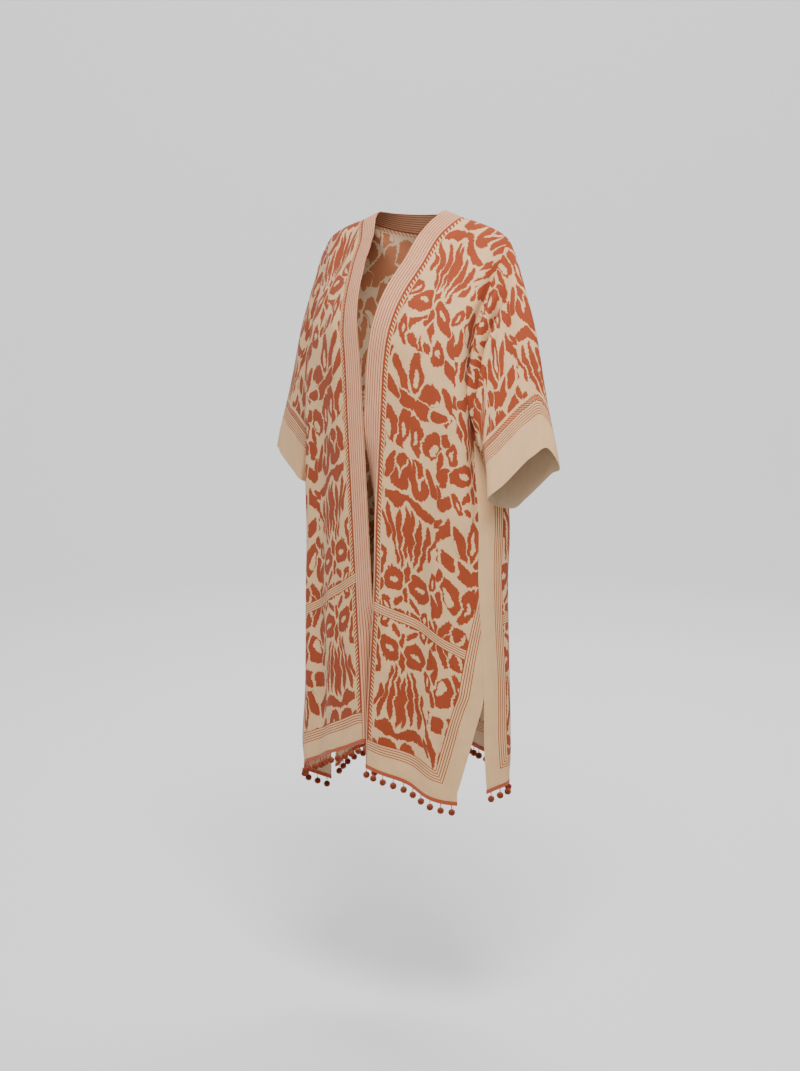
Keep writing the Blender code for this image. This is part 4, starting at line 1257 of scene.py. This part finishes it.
def striped_cloth(name, ground, stripe):
    """Striped cloth of the band, its stripes running along it."""
    material, tree, shader = fibres(name, CLOTH_SURFACE)
    across, up = uv(tree, "cloth")
    wave = cloud(point(0.0, up * BAND_STRIPE_WAVES), 1.0, 2.0)
    wander = wave.times_plus(BAND_STRIPE_WANDER, -BAND_STRIPE_WANDER / 2)
    inked = ((across + wander) / BAND_STRIPE_PITCH).part() < BAND_STRIPE_SHARE
    colour_by(shader, inked, stripe, ground, across, up)
    weave(shader, across, up)
    return material


BAND_FACE = striped_cloth("band_stripes", BAND_GROUND, BAND_STRIPE)
for side in ("left", "right"):
    grid = band_sheet(side)
    hem_lines[side] = np.concatenate([grid[0, ::-1], hem_lines[side][1:]])
    maps = {"cloth": (walked(grid, 1, "first"), walked(grid, 0, "first"))}
    set_back(grid, 1, "first", SEAM_SET_BACK)
    set_back(grid, 0, "last", SEAM_SET_BACK)
    name = "band_" + side
    piece = cloth_piece(name + "_cloth", placed(grid, side), maps, BAND_FACE, BAND_FACE)
    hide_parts(name)
    "front_" + side


# Pompom trim: a narrow braid along each hem, with short strings that carry pompoms of cut
# yarn. The braid is sewn under the hem's edge.

TAPE_HEIGHT = 0.007
TAPE_THICKNESS = 0.0026
TAPE_PROUD = 0.0005
TAPE_GAP = 0.0004
TAPE_ROWS = 5
STRING_LENGTH = 0.0065
STRING_WIDTH = 0.0020
BALL_DIAMETER = 0.0122
CORE_SHARE = 0.62
STRING_INSET = 0.0008
YARN_SEED = 11

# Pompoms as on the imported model, about 19.6 mm apart
TRIMS = table("node hem side pompoms", [
    ("trim_front_left", "left", "left", 11),
    ("trim_front_right", "right", "right", 19),
    ("trim_back", "back", "left", 31),
])

YARN_COLOUR = (0.36, 0.066, 0.023)
YARN_TONES = (0.56, 0.72)
YARN_TONE_WAVES = 420.0
FIBRE_WAVES = 2600.0
FIBRE_STRENGTH = 0.5
FIBRE_DEPTH = 0.0002
YARN_SURFACE = {
    "Roughness": 0.92,
    "Specular IOR Level": 0.15,
    "Sheen Weight": 0.15,
    "Sheen Roughness": 0.6,
}

BALL_RADIUS = BALL_DIAMETER / 2
BALL_SLACK = 0.0007
BALL_DROP = BALL_SLACK + TAPE_HEIGHT + STRING_LENGTH + BALL_RADIUS
YARN_END_GAP = 0.00010
YARN_TIPS = 0.95
YARN_RAGGED = 0.00035
CORD_SIDES = 8
CORD_STEPS = 8
CORD_FLATNESS = 0.6
CORD_TWIST = math.radians(40)
CORD_START = TAPE_HEIGHT * 0.5


def yarn(name):
    """Soft wool yarn: fine fibres, uneven dye and a broad sheen."""
    material, tree, shader = fibres(name, YARN_SURFACE)
    place = Wire(tree.nodes.new("ShaderNodeTexCoord").outputs["Object"])
    paint(shader, YARN_COLOUR, cloud(place, YARN_TONE_WAVES, 3.0).times_plus(*YARN_TONES))
    raise_surface(shader, cloud(place, FIBRE_WAVES, 2.0), FIBRE_STRENGTH, FIBRE_DEPTH)
    return material


YARN = yarn("pompom_wool")


def shape_of(piece):
    """Points and faces of a pattern piece, which is then thrown away."""
    points = np.array([vertex.co[:] for vertex in piece.data.vertices])
    faces = [list(polygon.vertices) for polygon in piece.data.polygons]
    bpy.data.objects.remove(piece)
    return points, faces


def pompom():
    """One pompom: a small core with a cut yarn end standing on each of its faces."""
    bpy.ops.mesh.primitive_ico_sphere_add(subdivisions=3, radius=BALL_RADIUS * CORE_SHARE)
    bpy.ops.object.mode_set(mode="EDIT")
    bpy.ops.mesh.select_all(action="SELECT")
    bpy.ops.mesh.inset(thickness=YARN_END_GAP, use_individual=True)
    bpy.ops.mesh.extrude_faces_move(
        TRANSFORM_OT_shrink_fatten={"value": BALL_RADIUS * (1 - CORE_SHARE)}
    )
    bpy.ops.object.mode_set(mode="OBJECT")
    ball = bpy.context.object
    chance = np.random.default_rng(YARN_SEED)
    for vertex in ball.data.vertices:
        if vertex.co.length > BALL_RADIUS * YARN_TIPS:
            vertex.co += Vector(chance.normal(0.0, YARN_RAGGED, 3))
    return shape_of(ball)


def cord():
    """One short string of two twisted plies, from the braid into the pompom."""
    bpy.ops.mesh.primitive_circle_add(
        vertices=CORD_SIDES, radius=STRING_WIDTH / 2, fill_type="NGON"
    )
    bpy.ops.object.mode_set(mode="EDIT")
    bpy.ops.mesh.select_all(action="SELECT")
    bpy.ops.transform.resize(value=(1.0, CORD_FLATNESS, 1.0))
    height = (STRING_LENGTH + BALL_RADIUS + CORD_START) / CORD_STEPS
    for step in range(CORD_STEPS):
        bpy.ops.mesh.extrude_region_move(TRANSFORM_OT_translate={"value": (0.0, 0.0, -height)})
        bpy.ops.transform.rotate(
            value=CORD_TWIST, orient_axis="Z", center_override=(0.0, 0.0, 0.0)
        )
    bpy.ops.mesh.select_all(action="SELECT")
    bpy.ops.mesh.normals_make_consistent(inside=False)
    bpy.ops.object.mode_set(mode="OBJECT")
    return shape_of(bpy.context.object)


def outward_from(line):
    """Level directions out of the coat along a line of hem points."""
    along = np.gradient(line, axis=0)
    out = unit(np.stack([-along[:, 1], along[:, 0], np.zeros(len(line))], axis=1))
    return out if (out * (line - COAT_MIDDLE)).sum() > 0 else -out


BALL = pompom()
CORD = cord()
for trim in TRIMS:
    line = placed(hem_lines[trim.hem], trim.side)
    out = outward_from(line)
    face = line + out * TAPE_PROUD - [0.0, 0.0, TAPE_GAP]
    heights = np.linspace(0.0, TAPE_HEIGHT, TAPE_ROWS)
    grid = face[None] - np.array([0.0, 0.0, 1.0]) * heights[:, None, None]
    maps = {"cloth": (walked(grid, 1, "first"), walked(grid, 0, "first"))}
    tape = cloth_piece(trim.node + "_yarn", grid, maps, YARN, YARN, wall=TAPE_THICKNESS)
    middles = (np.arange(trim.pompoms) + 0.5) / trim.pompoms
    places = along_line(line - out * STRING_INSET, middles)
    chance = np.random.default_rng(YARN_SEED + len(trim.node))
    points = []
    faces = []
    for place in places:
        for (shape, shape_faces), drop in ((BALL, BALL_DROP), (CORD, CORD_START)):
            spin = chance.uniform(0.0, 2 * math.pi)
            turned_shape = shape @ np.array([
                [math.cos(spin), math.sin(spin), 0.0],
                [-math.sin(spin), math.cos(spin), 0.0],
                [0.0, 0.0, 1.0],
            ])
            start = sum(len(p) for p in points)
            points.append(turned_shape + place - [0.0, 0.0, drop])
            faces += [[start + index for index in corners] for corners in shape_faces]
    mesh = bpy.data.meshes.new(trim.node + "_pompoms")
    mesh.from_pydata(np.concatenate(points).tolist(), [], faces)
    mesh.materials.append(YARN)
    mesh.materials.append(YARN)
    mesh.shade_smooth()
    balls = bpy.data.objects.new(trim.node + "_pompoms", mesh)
    bpy.context.scene.collection.objects.link(balls)
    bpy.ops.object.select_all(action="DESELECT")
    balls.select_set(True)
    tape.select_set(True)
    bpy.context.view_layer.objects.active = tape
    bpy.ops.object.join()
    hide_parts(trim.node)
